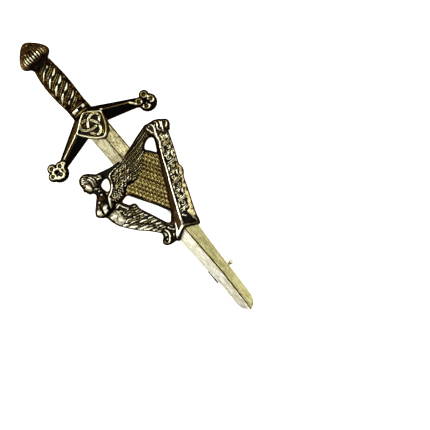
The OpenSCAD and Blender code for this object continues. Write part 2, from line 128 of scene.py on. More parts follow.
class Wax:
    """A master carved over the flat back: the height of its surface on a fine level grid, in mm."""

    def __init__(self, left, low, right, top, step=GRAIN):
        self.left, self.low, self.step = left, low, step
        self.x, self.y = np.meshgrid(np.arange(left, right + step, step), np.arange(low, top + step, step))
        self.high = np.zeros(self.x.shape)
        self.inner = np.full(self.x.shape, -9.0)  # distance inside the outline
        self.rub_and_sheen = np.zeros(self.x.shape)
        self.tone = np.full(self.x.shape, np.nan)  # where there is none, the height makes the tone

    def patch(self, points, reach):
        """The part of the grid within reach of the points."""
        points = np.asarray(points, float).reshape(-1, 2)
        corner = np.array([self.left, self.low])
        lo = np.maximum(np.floor((points.min(0) - reach - corner) / self.step).astype(int), 0)
        hi = np.maximum(np.ceil((points.max(0) + reach - corner) / self.step).astype(int) + 1, 0)
        return slice(lo[1], hi[1]), slice(lo[0], hi[0])

    def blank(self, outline, height):
        """Adds a flat area of that height inside the outline."""
        deep = inside_of(self.x, self.y, outline)
        self.inner = np.maximum(self.inner, deep)
        self.high = np.where(deep > -self.step, np.maximum(self.high, height), self.high)

    def within(self, outline):
        """Mask of the places inside a closed outline."""
        return inside_of(self.x, self.y, outline) > 0

    def tint(self, area, tone):
        """Gives an area (outline or mask) that tone, from 0 (all lacquer) to 1 (rubbed bright)."""
        if np.asarray(area).dtype != bool:
            area = self.within(area)
        self.tone = np.where(area, tone, self.tone)

    def pierce(self, outline):
        """Cuts an opening through."""
        self.inner = np.minimum(self.inner, -inside_of(self.x, self.y, outline))

    def ridge(self, path, width, height, shape=ROUND, foot=0.0, twist=None, only=None, cut=False, rub_and_sheen=0.0):
        """A raised line. Width (half) and height may be lists, spread evenly along it. A twist is
        (pitch, slant, depth): marks that cross the line, as on a twisted wire. cut lowers instead.
        rub_and_sheen is how much brighter (or, below nothing, darker) it is than its height makes it, both
        for wear and for painted light and shade."""
        path = np.asarray(path, float)
        part = self.patch(path, np.max(width))
        x, y = self.x[part], self.y[part]
        gap, along, side, length = from_line(x, y, path)
        share = along / length
        w = np.interp(share, np.linspace(0, 1, np.size(width)), np.atleast_1d(width))
        h = np.interp(share, np.linspace(0, 1, np.size(height)), np.atleast_1d(height))
        t = gap / np.maximum(w, 1e-6)
        rise = shape(t)
        if twist:
            pitch, slant, depth = twist
            turn = 2 * np.pi * (along / pitch + slant * side * t)
            rise = rise * (1 - depth * (0.5 - 0.5 * np.cos(turn)))
        keep = t < 1
        if only is not None:
            keep &= only[part]
        old = self.high[part]
        if cut:
            new = old - h * rise
        else:
            new = np.maximum(old, foot + (h - foot) * rise)
        self.lay(part, new, keep & ((new > old) | cut), rub_and_sheen)

    def lay(self, part, new, seen, rub_and_sheen):
        """What is newly on top there takes its own rub_and_sheen, and no tint from below."""
        self.high[part] = np.where(seen, new, self.high[part])
        self.rub_and_sheen[part] = np.where(seen, rub_and_sheen, self.rub_and_sheen[part])
        self.tone[part] = np.where(seen, np.nan, self.tone[part])

    def dome(self, place, half, height, turn=0.0, shape=ROUND, foot=0.0, cut=False, rub_and_sheen=0.0):
        """A raised round or oval form, with its long axis turned by that many degrees."""
        half = np.atleast_1d(half)
        a, b = half[0], half[-1]
        part = self.patch([place], max(a, b))
        x, y = self.x[part] - place[0], self.y[part] - place[1]
        c, s = math.cos(math.radians(turn)), math.sin(math.radians(turn))
        t = np.hypot((x * c + y * s) / a, (y * c - x * s) / b)
        old = self.high[part]
        rise = shape(t)
        new = old - height * rise if cut else np.maximum(old, foot + (height - foot) * rise)
        self.lay(part, new, (t < 1) & ((new > old) | cut), rub_and_sheen)

    def groove(self, path, width, depth, rub_and_sheen=0.0):
        """A line cut in, with a rounded floor."""
        self.ridge(path, width, depth, ARCH, cut=True, rub_and_sheen=rub_and_sheen)

    def pit(self, place, half, depth, rub_and_sheen, turn=0.0):
        """A round or oval hollow."""
        self.dome(place, half, depth, turn=turn, shape=ARCH, cut=True, rub_and_sheen=rub_and_sheen)

    def curl(self, place, radius, height, start=0.0, turns=1.4, hand=1, width=0.3, foot=0.0, rub_and_sheen=0.0):
        """A scroll: a raised line that winds in to a bead."""
        t = np.linspace(0, 1, int(14 * turns) + 6)
        r = (radius - width) * (1 - 0.78 * t)
        a = np.radians(start) + hand * 2 * np.pi * turns * t
        path = np.column_stack([place[0] + r * np.cos(a), place[1] + r * np.sin(a)])
        self.ridge(path, [width, width * 0.7], [height, height * 0.94], foot=foot, rub_and_sheen=rub_and_sheen)
        self.dome(path[-1], width * 1.15, height, foot=foot, rub_and_sheen=rub_and_sheen)

    def soften(self):
        """Rounds everything by about one grid step, as casting does."""
        for axis in (0, 1):
            self.high = (np.roll(self.high, 1, axis) + 2 * self.high + np.roll(self.high, -1, axis)) / 4

    def roll_edge(self, lip, width, peak=5.0):
        """Rounds the surface down to a lip all round the outline."""
        t = np.clip(self.inner / width, 0, 1)
        self.high = np.minimum(self.high, lip + (peak - lip) * np.sqrt(t * (2 - t)))

    def shine(self, deep, dark_edge, reach, gain, edge_tone):
        """How far each place stands out of its surroundings, from 0 in a recess to 1 on a crest. It
        is dark within dark_edge of the outline, apart from the worn edge itself."""
        level = blurred(self.high, deep > 0, int(round(reach / self.step)))
        stands = (self.high - level) / gain / 2
        crest = np.clip(0.5 + stands + self.rub_and_sheen, 0, 1)
        toned = np.clip(self.tone + np.clip(stands, -0.3, 0.5) * 0.35, 0, 1)
        crest = np.where(np.isnan(self.tone), crest, toned)
        crest = crest * np.clip(deep / dark_edge * 2.2 - 1.2, 0, 1)
        return np.maximum(crest, np.clip(edge_tone - deep * edge_tone / 0.3, 0, 1))

    def surface(self, deep, crest):
        """Mesh of the surface up to the outline: points as (x, y, height, crest), faces, and the pairs
        of points that the outline runs through."""
        held = deep > 0
        number = np.full(held.shape, -1)
        number[held] = np.arange(held.sum())
        spots = [np.column_stack([self.x[held], self.y[held], self.high[held], crest[held]])]
        count = held.sum()

        def crossings(axis):
            """Adds a point where the outline crosses each of the grid's lines along that axis."""
            nonlocal count
            a = [deep[:, :-1], deep[:-1, :]][axis]
            b = [deep[:, 1:], deep[1:, :]][axis]
            hit = (a > 0) != (b > 0)
            t = np.clip(a[hit] / (a[hit] - b[hit]), 0.12, 0.88)[:, None]
            first = [np.s_[:, :-1], np.s_[:-1, :]][axis]
            second = [np.s_[:, 1:], np.s_[1:, :]][axis]
            ends = [np.column_stack([f[hit] for f in (self.x[s], self.y[s], self.high[s], crest[s])])
                    for s in (first, second)]
            solid = (a[hit] > 0)[:, None]
            place = ends[0] * (1 - t) + ends[1] * t
            place[:, 2:] = np.where(solid, ends[0], ends[1])[:, 2:]
            ids = np.full(a.shape, -1)
            ids[hit] = count + np.arange(hit.sum())
            count += hit.sum()
            spots.append(place)
            return ids

        flat, upright = crossings(0), crossings(1)
        # Which of a cell's four corners are in the metal, and the eight points round it
        a, b, c, d = held[:-1, :-1], held[:-1, 1:], held[1:, 1:], held[1:, :-1]
        code = a + 2 * b + 4 * c + 8 * d
        ring = [number[:-1, :-1], flat[:-1, :], number[:-1, 1:], upright[:, 1:],
                number[1:, 1:], flat[1:, :], number[1:, :-1], upright[:, :-1]]
        # A whole cell is split along its flatter diagonal
        faces, rim = [], []
        full = code == 15
        corner = [r[full] for r in ring[::2]]
        z = [self.high[s][full] for s in (np.s_[:-1, :-1], np.s_[:-1, 1:], np.s_[1:, 1:], np.s_[1:, :-1])]
        down = np.abs(z[0] - z[2]) < np.abs(z[1] - z[3])
        for want, order in ((down, (0, 1, 2, 0, 2, 3)), (~down, (0, 1, 3, 1, 2, 3))):
            faces.append(np.column_stack([corner[k][want] for k in order]).reshape(-1, 3))
        # A cut cell is filled up to the outline, whose pieces make the rim
        for kind in range(1, 15):
            cells = code == kind
            if not cells.any():
                continue
            solid = [bool(kind >> k & 1) for k in range(4)]
            used = [k for k in range(8)
                    if (solid[k // 2] if k % 2 == 0 else solid[k // 2] != solid[(k // 2 + 1) % 4])]
            pts = [ring[k][cells] for k in used]
            for k in range(1, len(used) - 1):
                faces.append(np.column_stack([pts[0], pts[k], pts[k + 1]]))
            for k, here in enumerate(used):
                after = (k + 1) % len(used)
                if here % 2 and used[after] % 2 and (
                        (here + 2) % 8 == used[after] or not solid[(here // 2 + 1) % 4]):
                    rim.append(np.column_stack([pts[k], pts[after]]))
        return np.vstack(spots), np.vstack(faces), np.vstack(rim)

    def cast(self, name, material, lift=0.0, dark_edge=0.5, reach=0.45, gain=0.3, edge_tone=0.36, fine=1.0):
        """Casts the master: a closed mesh with a flat back, which carries how worn each point is, with the
        light and shade painted on it. fine lowers the fine relief."""
        deep = np.where(np.abs(self.inner) < 1e-5, 1e-5, self.inner)
        crest = self.shine(deep, dark_edge, reach, gain, edge_tone)
        form = blurred(self.high, deep > 0, int(round(BROAD_FORM / self.step)))
        self.high = np.where(deep > 0, form + (self.high - form) * fine, self.high)
        spots, faces, rim = self.surface(deep, crest)
        # The side walls go straight down from the rim, and the flat back closes the piece
        edge = np.unique(rim)
        below = np.full(len(spots), -1)
        below[edge] = len(spots) + np.arange(len(edge))
        foot = spots[edge].copy()
        foot[:, 2] = lift
        foot[:, 3] *= 0.6
        u, v = rim[:, 0], rim[:, 1]
        walls = np.vstack([np.column_stack([v, u, below[u]]), np.column_stack([v, below[u], below[v]])])
        back = flat_back(foot, below[rim] - len(spots)) + len(spots)
        spots, faces = np.vstack([spots, foot]), np.vstack([faces, walls, back])
        points = spots[:, :3] * MM
        points[:, 2] += BACK_Z * MM
        piece = solid_piece(name, points, faces, spots[:, 3], material)
        piece.data.materials.append(bare_back)
        piece.data.polygons.foreach_set(
            "material_index", np.r_[np.zeros(len(faces) - len(back), np.int32), np.ones(len(back), np.int32)])
        return piece


def flat_back(points, pairs):
    """Triangles that fill a flat outline and face down. Its edges are pairs of the points' numbers."""
    plate = bmesh.new()
    verts = [plate.verts.new((p[0], p[1], 0)) for p in points]
    edges = [plate.edges.new((verts[a], verts[b])) for a, b in pairs]
    plate.verts.index_update()
    bmesh.ops.triangle_fill(plate, use_beauty=True, edges=edges, normal=(0, 0, 1))
    back = []
    for face in plate.faces:
        ids = [vert.index for vert in face.verts]
        back.append(ids if face.normal.z < 0 else ids[::-1])
    plate.free()
    return np.array(back)


def solid_piece(name, points, faces, crest, material, crease=50):
    """A mesh object with smooth faces and sharp corners, that carries its crest values."""
    mesh = bpy.data.meshes.new(name)
    mesh.from_pydata(points.tolist(), [], [list(map(int, f)) for f in faces])
    mesh.shade_smooth()
    mesh.set_sharp_from_angle(angle=math.radians(crease))
    mesh.attributes.new("crest", "FLOAT", "POINT").data.foreach_set("value", np.asarray(crest, np.float32))
    mesh.materials.append(material)
    piece = bpy.data.objects.new(name, mesh)
    bpy.context.scene.collection.objects.link(piece)
    return piece


def node(tree, kind, feeds=None, **settings):
    """Adds a shader node. What feeds a socket is a value or another node's output."""
    made = tree.nodes.new(kind)
    for key, value in settings.items():
        setattr(made, key, value)
    for key, value in (feeds or {}).items():
        if isinstance(value, bpy.types.NodeSocket):
            tree.links.new(value, made.inputs[key])
        else:
            made.inputs[key].default_value = value
    return made


def step_between(tree, value, low, high, start=0.0, end=1.0):
    """Goes smoothly from start to end as the value goes from low to high."""
    return node(tree, "ShaderNodeMapRange",
                {"Value": value, "From Min": low, "From Max": high, "To Min": start, "To Max": end},
                interpolation_type="SMOOTHSTEP").outputs["Result"]


def mixed(tree, share, first, second):
    """Colour between the first and the second."""
    return node(tree, "ShaderNodeMix", {0: share, 6: first, 7: second}, data_type="RGBA").outputs[2]


def added(tree, a, b, how="ADD"):
    """Two values added, or put together in another way."""
    return node(tree, "ShaderNodeMath", {0: a, 1: b}, operation=how).outputs[0]


def grain_at(tree, size, stretch=(1, 1, 1), detail=3.0, rough=0.55):
    """Noise with features of about that size in mm, drawn out along an axis by stretch."""
    place = node(tree, "ShaderNodeTexCoord").outputs["Object"]
    scale = [1 / (size * MM * s) for s in stretch]
    turned = node(tree, "ShaderNodeMapping", {"Vector": place, "Scale": scale}).outputs["Vector"]
    return node(tree, "ShaderNodeTexNoise",
                {"Vector": turned, "Scale": 1.0, "Detail": detail, "Roughness": rough}).outputs["Fac"]


def place_along(tree, axis):
    """How far along X, Y or Z a place lies."""
    place = node(tree, "ShaderNodeTexCoord").outputs["Object"]
    return node(tree, "ShaderNodeSeparateXYZ", {0: place}).outputs[axis]


def bumped(tree, bsdf, height, depth):
    """Gives the surface that pattern in relief, depth mm high."""
    bump = node(tree, "ShaderNodeBump", {"Height": height, "Distance": depth * MM})
    tree.links.new(bump.outputs["Normal"], bsdf.inputs["Normal"])


def finish(name, **shader):
    """A material, its node tree and its shader, with values set on the shader's own sockets."""
    made = bpy.data.materials.new(name)
    made.use_nodes = True
    tree = made.node_tree
    bsdf = tree.nodes["Principled BSDF"]
    for key, value in shader.items():
        bsdf.inputs[key].default_value = value
    return made, tree, bsdf


# The flat back is left matte and grained, as it came from the mould
bare_back, tree, bsdf = finish("bare_cast_back", Metallic=0.35, Roughness=0.62)
flecks = step_between(tree, grain_at(tree, 0.22), 0.3, 0.7)
tree.links.new(mixed(tree, flecks, (0.26, 0.22, 0.165, 1), (0.46, 0.41, 0.35, 1)), bsdf.inputs["Base Color"])
bumped(tree, bsdf, grain_at(tree, 0.25), 0.03)

# Brushed gold, streaked along the blade, with painted light on its two slopes: nearly white left of the
# fuller, olive right of it
FULLER_X = {"upper": 0.4, "lower": 1.2}


def brushed(name, fuller_x, drawn, left_slope_pale, left_slope_deep, right_slope_pale, right_slope_deep):
    """Brushed plating with one pair of colours left of the fuller and another right of it.
    drawn is how far its clouds are drawn out along the blade."""
    made, tree, bsdf = finish(name, **{"Metallic": 1.0, "Specular Tint": (0.5, 0.45, 0.3, 1)})
    streaks = grain_at(tree, 0.2, (1, 9, 1))
    clouds = grain_at(tree, 1.3, (1.5 / drawn, drawn, 1), detail=4)
    specks = grain_at(tree, 0.28, (1, 1.6, 1), detail=2)
    wear = step_between(tree, added(tree, added(tree, streaks, clouds), specks), 1.25, 1.75)
    side = step_between(tree, place_along(tree, "X"), (fuller_x - 0.1) * MM, (fuller_x + 0.1) * MM)
    # Painted light: the slope left of the fuller and the one right of it take their own colours
    tone = mixed(tree, side, mixed(tree, wear, left_slope_deep, left_slope_pale), mixed(tree, wear, right_slope_deep, right_slope_pale))
    crest = node(tree, "ShaderNodeAttribute", attribute_name="crest").outputs["Fac"]
    tree.links.new(mixed(tree, step_between(tree, crest, 0.1, 0.42), (0.016, 0.006, 0.002, 1), tone),
                   bsdf.inputs["Base Color"])
    tree.links.new(step_between(tree, streaks, 0.3, 0.7, 0.32, 0.46), bsdf.inputs["Roughness"])
    bumped(tree, bsdf, streaks, 0.01)
    return made


upper_gold = brushed("brushed_gold_upper", FULLER_X["upper"], 2.2, (0.45, 0.42, 0.265, 1),
                     (0.15, 0.13, 0.06, 1), (0.86, 0.79, 0.44, 1), (0.16, 0.13, 0.04, 1))
lower_gold = brushed("brushed_gold_lower", FULLER_X["lower"], 4.5, (0.85, 0.83, 0.74, 1),
                     (0.60, 0.545, 0.34, 1), (0.58, 0.54, 0.26, 1), (0.27, 0.235, 0.085, 1))

# A row: y, left edge, fuller, right edge
BLADE_UPPER = [(17.4, -2.85, 0.4, 4.1), (10, -2.85, 0.4, 4.1), (5.5, -2.85, 0.4, 4.1)]
BLADE_LOWER = [(-19.4, -2.15, 1.2, 4.9), (-22, -2.1, 1.2, 4.85), (-25, -2.05, 1.25, 4.55),
               (-30, -1.85, 1.3, 4.25), (-35, -1.5, 1.4, 4.05), (-40, -1.3, 1.25, 3.85),
               (-45, -1.45, 1.05, 3.6), (-47.3, -1.3, 0.95, 3.4), (-48.4, -0.95, 0.9, 2.9),
               (-49.3, -0.2, 0.87, 2.1), (-49.8, 0.4, 0.85, 1.3), (-50, 0.75, 0.85, 0.95)]
BLADE_EDGE_H, BLADE_RISE = 1.15, 1.05  # height at the edges, and from there up to the middle
BEAD_HALF, BEAD_H, BEADED = 0.17, 2.33, (0.34, 0, 0.8)


def between_edges(left, right, ys):
    """Outline of a form from its left and right edges."""
    return np.vstack([np.column_stack([left, ys]), np.column_stack([right, ys])[::-1]])


def blade_stretch(name, rows, fuller, material, shaded_edge):
    """One stretch of the blade: two slopes, a fuller of that half width and its beaded edges.
    shaded_edge is how wide the painted shade along its right edge is."""
    rows = np.array(rows[::-1], float)
    ys, left, middle, right = rows.T
    wax = Wax(left.min() - 0.3, ys[0] - 0.3, right.max() + 0.3, ys[-1] + 0.3)
    wax.blank(between_edges(left, right, ys), 1.1)
    l, m, r = (np.interp(wax.y, ys, c) for c in (left, middle, right))
    t = np.where(wax.x < m, (m - wax.x) / (m - l), (wax.x - m) / (r - m))
    wax.high = BLADE_EDGE_H + BLADE_RISE * np.clip(1 - t, 0, 1) ** 0.9
    wax.roll_edge(lip=0.75, width=0.35)
    line = np.column_stack([middle, ys])
    wax.groove(line, fuller, 0.6)
    for side in (-1, 1):
        edge = np.column_stack([middle + side * (fuller + 0.2), ys])
        wax.ridge(edge, BEAD_HALF, BEAD_H, SOFT, foot=2.0, twist=BEADED)
    wax.soften()
    wax.tint(np.abs(wax.x - m) < fuller * 0.8, 0.22)
    # Painted shade: a dark line along the right edge
    wax.tint((wax.x > r - shaded_edge) & (wax.x < r), 0.0)
    piece = wax.cast(name, material, lift=0.03, dark_edge=0.001, reach=0.5, gain=0.4, edge_tone=0.5)
    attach(piece, "brooch")
    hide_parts("casting")
    return piece


blade_stretch("blade_upper", BLADE_UPPER, 0.1, upper_gold, shaded_edge=0.42)
blade_stretch("blade_lower", BLADE_LOWER, 0.17, lower_gold, shaded_edge=0.0)

# The guard

# The guard is cast with the blade: a ridged arm slopes down to each side and ends in four ringed
# lobes. It is plated like the rest, and its dark lacquer is left on, so the crests shine; the arms'
# lower slopes and the ends' sides are painted black as shade, and the left side painted lighter, as lit.


def shared_effect(name, takes, gives):
    """A node group with named sockets; a taken value that is a tuple is a colour."""
    tree = bpy.data.node_groups.new(name, "ShaderNodeTree")
    for key, value in takes.items():
        colour = isinstance(value, tuple)
        socket = tree.interface.new_socket(
            key, in_out="INPUT", socket_type="NodeSocketColor" if colour else "NodeSocketFloat")
        socket.default_value = value
    for key, kind in gives.items():
        tree.interface.new_socket(key, in_out="OUTPUT", socket_type=kind)
    return tree, node(tree, "NodeGroupInput").outputs, node(tree, "NodeGroupOutput").inputs


# Antique plating: black lacquer stays in the recesses, brown round them, and the crests are rubbed
antique, given, out = shared_effect(
    "antique_plating",
    {"Crest": 0.5, "Lacquer": (0.01, 0.007, 0.003, 1), "Brown": (0.05, 0.02, 0.007, 1),
     "Plating": (0.3, 0.24, 0.08, 1), "Rubbed": (0.9, 0.85, 0.6, 1),
     "Lacquer up to": 0.2, "Brown up to": 0.4, "Rubbed from": 0.6, "Patchy": 0.2},
    {"Colour": "NodeSocketColor", "Roughness": "NodeSocketFloat"})
patches = added(antique, added(antique, grain_at(antique, 1.1), grain_at(antique, 0.4)), 1.0, "SUBTRACT")
level = added(antique, given["Crest"], added(antique, patches, given["Patchy"], "MULTIPLY"))
colour = given["Lacquer"]
for next_colour, starts in (("Brown", "Lacquer up to"), ("Plating", "Brown up to"),
                            ("Rubbed", "Rubbed from")):
    share = step_between(antique, level, added(antique, given[starts], 0.08, "SUBTRACT"),
                         added(antique, given[starts], 0.1))
    colour = mixed(antique, share, colour, given[next_colour])
antique.links.new(colour, out["Colour"])
antique.links.new(step_between(antique, level, 0.2, 0.7, 0.55, 0.34), out["Roughness"])

# Cast skin: the fine pebbled surface of a cast piece
skin, given, out = shared_effect("cast_skin", {"Coarse": 0.5}, {"Height": "NodeSocketFloat"})
coarse_grain = added(skin, grain_at(skin, 0.7), given["Coarse"], "MULTIPLY")
skin.links.new(added(skin, grain_at(skin, 0.18), coarse_grain), out["Height"])


def pebbled(tree, bsdf, coarse, depth):
    """Gives the surface the skin of a casting."""
    pebbles = node(tree, "ShaderNodeGroup", node_tree=skin)
    pebbles.inputs["Coarse"].default_value = coarse
    bumped(tree, bsdf, pebbles.outputs["Height"], depth)


def plated(name, brown, plating, rubbed, brown_from=0.2, brown_up_to=0.4, rubbed_from=0.6, patchy=0.16):
    """Antique plated casting in those colours."""
    made, tree, bsdf = finish(name, **{"Metallic": 1.0, "Specular Tint": (0.3, 0.25, 0.15, 1)})
    crest = node(tree, "ShaderNodeAttribute", attribute_name="crest").outputs["Fac"]
    look = node(tree, "ShaderNodeGroup", node_tree=antique)
    tree.links.new(crest, look.inputs["Crest"])
    for key, value in {"Lacquer": (0.006, 0.005, 0.004), "Brown": brown, "Plating": plating,
                       "Rubbed": rubbed}.items():
        look.inputs[key].default_value = (*value, 1)
    for key, value in {"Lacquer up to": brown_from, "Brown up to": brown_up_to,
                       "Rubbed from": rubbed_from, "Patchy": patchy}.items():
        look.inputs[key].default_value = value
    tree.links.new(look.outputs["Colour"], bsdf.inputs["Base Color"])
    tree.links.new(look.outputs["Roughness"], bsdf.inputs["Roughness"])
    pebbled(tree, bsdf, 0.5, 0.02)
    return made


hilt_plating = plated("dark_antique_gold", (0.042, 0.022, 0.005), (0.24, 0.18, 0.055), (0.90, 0.85, 0.58),
                      brown_from=0.2, brown_up_to=0.44, rubbed_from=0.74, patchy=0.14)
# An arm: its upper edge, ridge and lower edge, from the sword out to its end
ARMS = {"left": ([(2, 24.2), (-3.2, 23.85), (-13.4, 17.9), (-15, 17.3)],
                 [(2, 22.6), (-5.3, 20.3), (-12.4, 17.1), (-15, 15.9)],
                 [(2, 16.6), (-3.4, 17.35), (-12.3, 15.05), (-15, 14.4)]),
        "right": ([(-2, 24.2), (3.3, 23.8), (14.6, 17.5), (16, 16.9)],
                  [(-2, 22.8), (4.4, 21.35), (12.3, 17.5), (15, 16.1)],
                  [(-2, 16.6), (4.1, 17.9), (12.5, 15.3), (15, 14.2)])}
# Four lobes each: the two far ones, the low one and the one next to the arm
LOBES = {"left": [(-16.95, 17.25), (-18.1, 15.3), (-15.9, 14.35), (-14.65, 16.4)],
         "right": [(16.75, 16.65), (17.55, 14.5), (15.35, 13.7), (14.4, 15.95)]}
# The worn web between the lobes, and the rolled edge where the arm meets them
WEBS = {"left": [[(-16.6, 16.9), (-17.7, 15.7)], [(-16.6, 16.6), (-14.9, 16.0)], [(-18, 14.9), (-16.5, 13.6)],
                 [(-15.3, 15.7), (-15.4, 14.7)]],
        "right": [[(14.6, 16.3), (16.4, 16.5)], [(16.9, 16.1), (17.6, 15.0)], [(17.0, 15.0), (17.1, 13.9)],
                  [(16.0, 14.1), (16.1, 13.3)]]}
SEAMS = {"left": [(-13.9, 16.95), (-13.1, 16.4), (-13.8, 15.9), (-14.4, 15.2), (-14.55, 14.2)],
         "right": [(12.2, 17.5), (13.0, 16.6), (13.6, 15.6), (14.25, 14.4), (14.55, 12.95)]}
HOLLOWS = {"left": [(-16.45, 15.5), (-16.1, 14.9), (-16.3, 15.1)],
           "right": [(16.1, 15.3), (15.5, 14.8), (16.5, 14.2)]}
# Painted shade: the undersides of the two ends are painted black
UNDERSIDES = [
    [(-17.3, 13.6), (-16.3, 11.9), (-14.3, 12.0), (-12.6, 15.0), (-13.9, 14.7), (-15.2, 13.1)],
    [(14.7, 12.75), (14.3, 12.2), (17, 11.4), (19.3, 13.3), (18.5, 13.4), (17.4, 13.2), (16.6, 12.6)]]
LOBE_R, HOOP_R, PIT_R = 1.55, 0.8, 0.55  # a lobe, the ring on it and the pit inside that
ARM_H, LOBE_H = 3.0, 3.2
ARM_FROM, ARM_TO = -2, 15  # how far out an arm starts, under the shield, and ends
# Painted light by side, the left lighter and the right darker as shade: tone of the arm's upper slope, its
# ridge's rub and half widths, the rings' rub
LIT_LEFT_SHADED_RIGHT = {"left": (0.28, 0.1, [0.26, 0.17, 0.15, 0.18], 0.0),
        "right": (0.12, -0.38, [0.2, 0.14, 0.12, 0.16], -0.3)}


def circle_at(place, radius, degrees):
    """Points of a circle, one at each of those degrees."""
    return [(place[0] + radius * math.cos(a), place[1] + radius * math.sin(a)) for a in np.radians(degrees)]


guard = Wax(-20.3, 11.2, 20.2, 25.0)
for side in ("left", "right"):
    upper, crest_line, lower = (np.array(line, float) for line in ARMS[side])
    out = 1 if side == "right" else -1
    slope_tone, ridge_light, ridge_half, ring_light = LIT_LEFT_SHADED_RIGHT[side]
    guard.blank(np.vstack([upper, lower[::-1]]), 0.6)
    u, c, l = (np.interp(guard.x * out, line[:, 0] * out, line[:, 1]) for line in (upper, crest_line, lower))
    slope = np.where(guard.y > c, 1 - 0.6 * (guard.y - c) / (u - c), 1 - 0.75 * (c - guard.y) / (c - l))
    on_arm = (guard.y < u) & (guard.y > l) & (guard.x * out > ARM_FROM) & (guard.x * out < ARM_TO)
    guard.high = np.where(on_arm, np.maximum(guard.high, ARM_H * slope), guard.high)
    # Painted light and shade: the upper slope, facing the light, takes its side's tone; the lower slope is
    # painted near black
    guard.tint(on_arm & (guard.y > c), slope_tone)
    guard.tint(on_arm & (guard.y <= c), 0.06)
    guard.tint(on_arm & (np.abs(guard.y - c + 0.55) < 0.13) & (guard.x < 2), 0.4)
    guard.ridge(crest_line[1:3], ridge_half, ARM_H + 0.25, SOFT, foot=ARM_H - 0.2, twist=(0.5, 0, 0.25),
                rub_and_sheen=ridge_light)
    guard.dome(crest_line[1] + (0.35 * out, -0.1), (0.55, 0.3), ARM_H + 0.4, turn=-25 * out, foot=2.2,
               rub_and_sheen=0.2)
    middle = np.mean(LOBES[side], 0)
    # The end's thick sides slope out below it, painted black as shade
    flare = [middle + (2.75 * math.cos(a) + 0.3, 2.6 * math.sin(a) - 0.85)
             for a in np.radians(range(0, 360, 30))]
    guard.blank(flowing(flare, closed=True), 0.5)
    guard.dome(middle - (0, 0.5), 3.3, 2.2, rub_and_sheen=-0.5)
    for lobe in LOBES[side]:
        guard.blank(circle_at(lobe, LOBE_R, range(0, 360, 15)), 1.2)
        guard.dome(lobe, LOBE_R * 0.97, LOBE_H - 0.45, foot=1.0, rub_and_sheen=-0.45)
        guard.ridge(circle_at(lobe, HOOP_R, range(0, 361, 20)), 0.32, LOBE_H, foot=2.2, rub_and_sheen=ring_light)
    for line in WEBS[side]:
        guard.ridge(line, 0.4, LOBE_H - 0.05, foot=2.2, rub_and_sheen=0.3)
    for spot in HOLLOWS[side]:
        guard.pit(spot, (0.62, 0.5), 1.7, rub_and_sheen=-0.4, turn=60)
    guard.ridge(flowing(SEAMS[side]), [0.4, 0.3, 0.22, 0.26, 0.2], LOBE_H - 0.05, foot=1.4, rub_and_sheen=0.3)
    for lobe in LOBES[side]:
        guard.pit(lobe, PIT_R, 1.0, rub_and_sheen=-0.3)
        guard.dome(lobe, 0.36, 2.6, foot=2.2)
        guard.tint((guard.x - lobe[0]) ** 2 + (guard.y - lobe[1]) ** 2 < 0.14, 0.52)
for outline in UNDERSIDES:
    guard.tint(outline, 0.05)
guard.roll_edge(lip=0.5, width=0.42)
guard.soften()
guard_piece = guard.cast("guard", hilt_plating, dark_edge=0.85, gain=0.45)
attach(guard_piece, "brooch")
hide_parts("casting")

# The shield

# The shield is cast over the middle of the guard. A raised rim holds a sunk field with a
# three-looped endless knot in it, whose band passes over and under itself.

shield_plating = plated("shield_antique_gold", (0.05, 0.028, 0.006), (0.34, 0.275, 0.095), (0.92, 0.88, 0.62),
                        brown_from=0.2, brown_up_to=0.36, rubbed_from=0.76, patchy=0.7)
SHIELD = [(0, 23.95), (1.75, 23.2), (3.4, 22.0), (4.75, 21.1), (4.55, 19.2), (4.0, 17.0), (2.7, 15.0),
          (0.7, 13.9), (-1.4, 15.1), (-3.2, 17.0), (-4.7, 18.9), (-5.5, 20.3), (-3.6, 21.7), (-1.9, 23.0)]
# The rim runs inside the outline: close to it on the left, set in on the lower right
RIM = [(0.2, 23.55), (1.9, 22.75), (3.3, 21.75), (4.25, 20.9), (3.95, 19.3), (3.05, 17.2), (1.9, 15.6),
       (0.5, 14.75), (-1.35, 15.75), (-3.0, 17.5), (-4.2, 19.0), (-4.95, 20.2), (-3.5, 21.25), (-1.8, 22.6)]
RIM_H, FIELD_H, KNOT_H = 4.1, 3.0, 3.9
KNOT_AT, KNOT_SIZE, KNOT_BAND = (0.0, 19.55), 1.1, 0.47  # half the width of its band
BAND_GAP = 0.16  # the dark gap beside a band that passes over another

shield = Wax(-5.9, 13.6, 5.2, 24.4, 0.08)
shield.blank(SHIELD, FIELD_H)
in_rim = inside_of(shield.x, shield.y, RIM)
# Painted shade: outside the rim, where it is broad on the lower right, the slope is painted near black
shield.tint(in_rim < 0, 0.08)
shield.tint(in_rim > 0, 0.2)


def knot_line(start, end):
    """Part of the endless knot: the flat shape of a trefoil with one loop pointing down."""
    t = np.linspace(start, end, 26)
    return np.column_stack([KNOT_AT[0] + KNOT_SIZE * (np.sin(t) + 2 * np.sin(2 * t)) * 1.06,
                            KNOT_AT[1] + KNOT_SIZE * (np.cos(t) - 2 * np.cos(2 * t))])


arc = np.pi / 3
for k in range(6):  # every other stretch lies over the others
    first = (k * 2 if k < 3 else (k - 3) * 2 + 1) * arc - arc / 2 + np.pi / 6
    line = knot_line(first - 0.12, first + arc + 0.12)
    if k > 2:
        part = shield.patch(line, KNOT_BAND + 0.2)
        beside = from_line(shield.x[part], shield.y[part], line)[0] < KNOT_BAND + BAND_GAP
        shield.high[part] = np.where(beside, np.minimum(shield.high[part], FIELD_H + 0.1), shield.high[part])
        shield.tone[part] = np.where(beside, 0.05, shield.tone[part])
    shield.ridge(line, KNOT_BAND, KNOT_H - (0.25 if k < 3 else 0), ROUND, foot=FIELD_H + 0.1, rub_and_sheen=0.06)
    shield.groove(line, 0.1, 0.3, rub_and_sheen=-0.3)
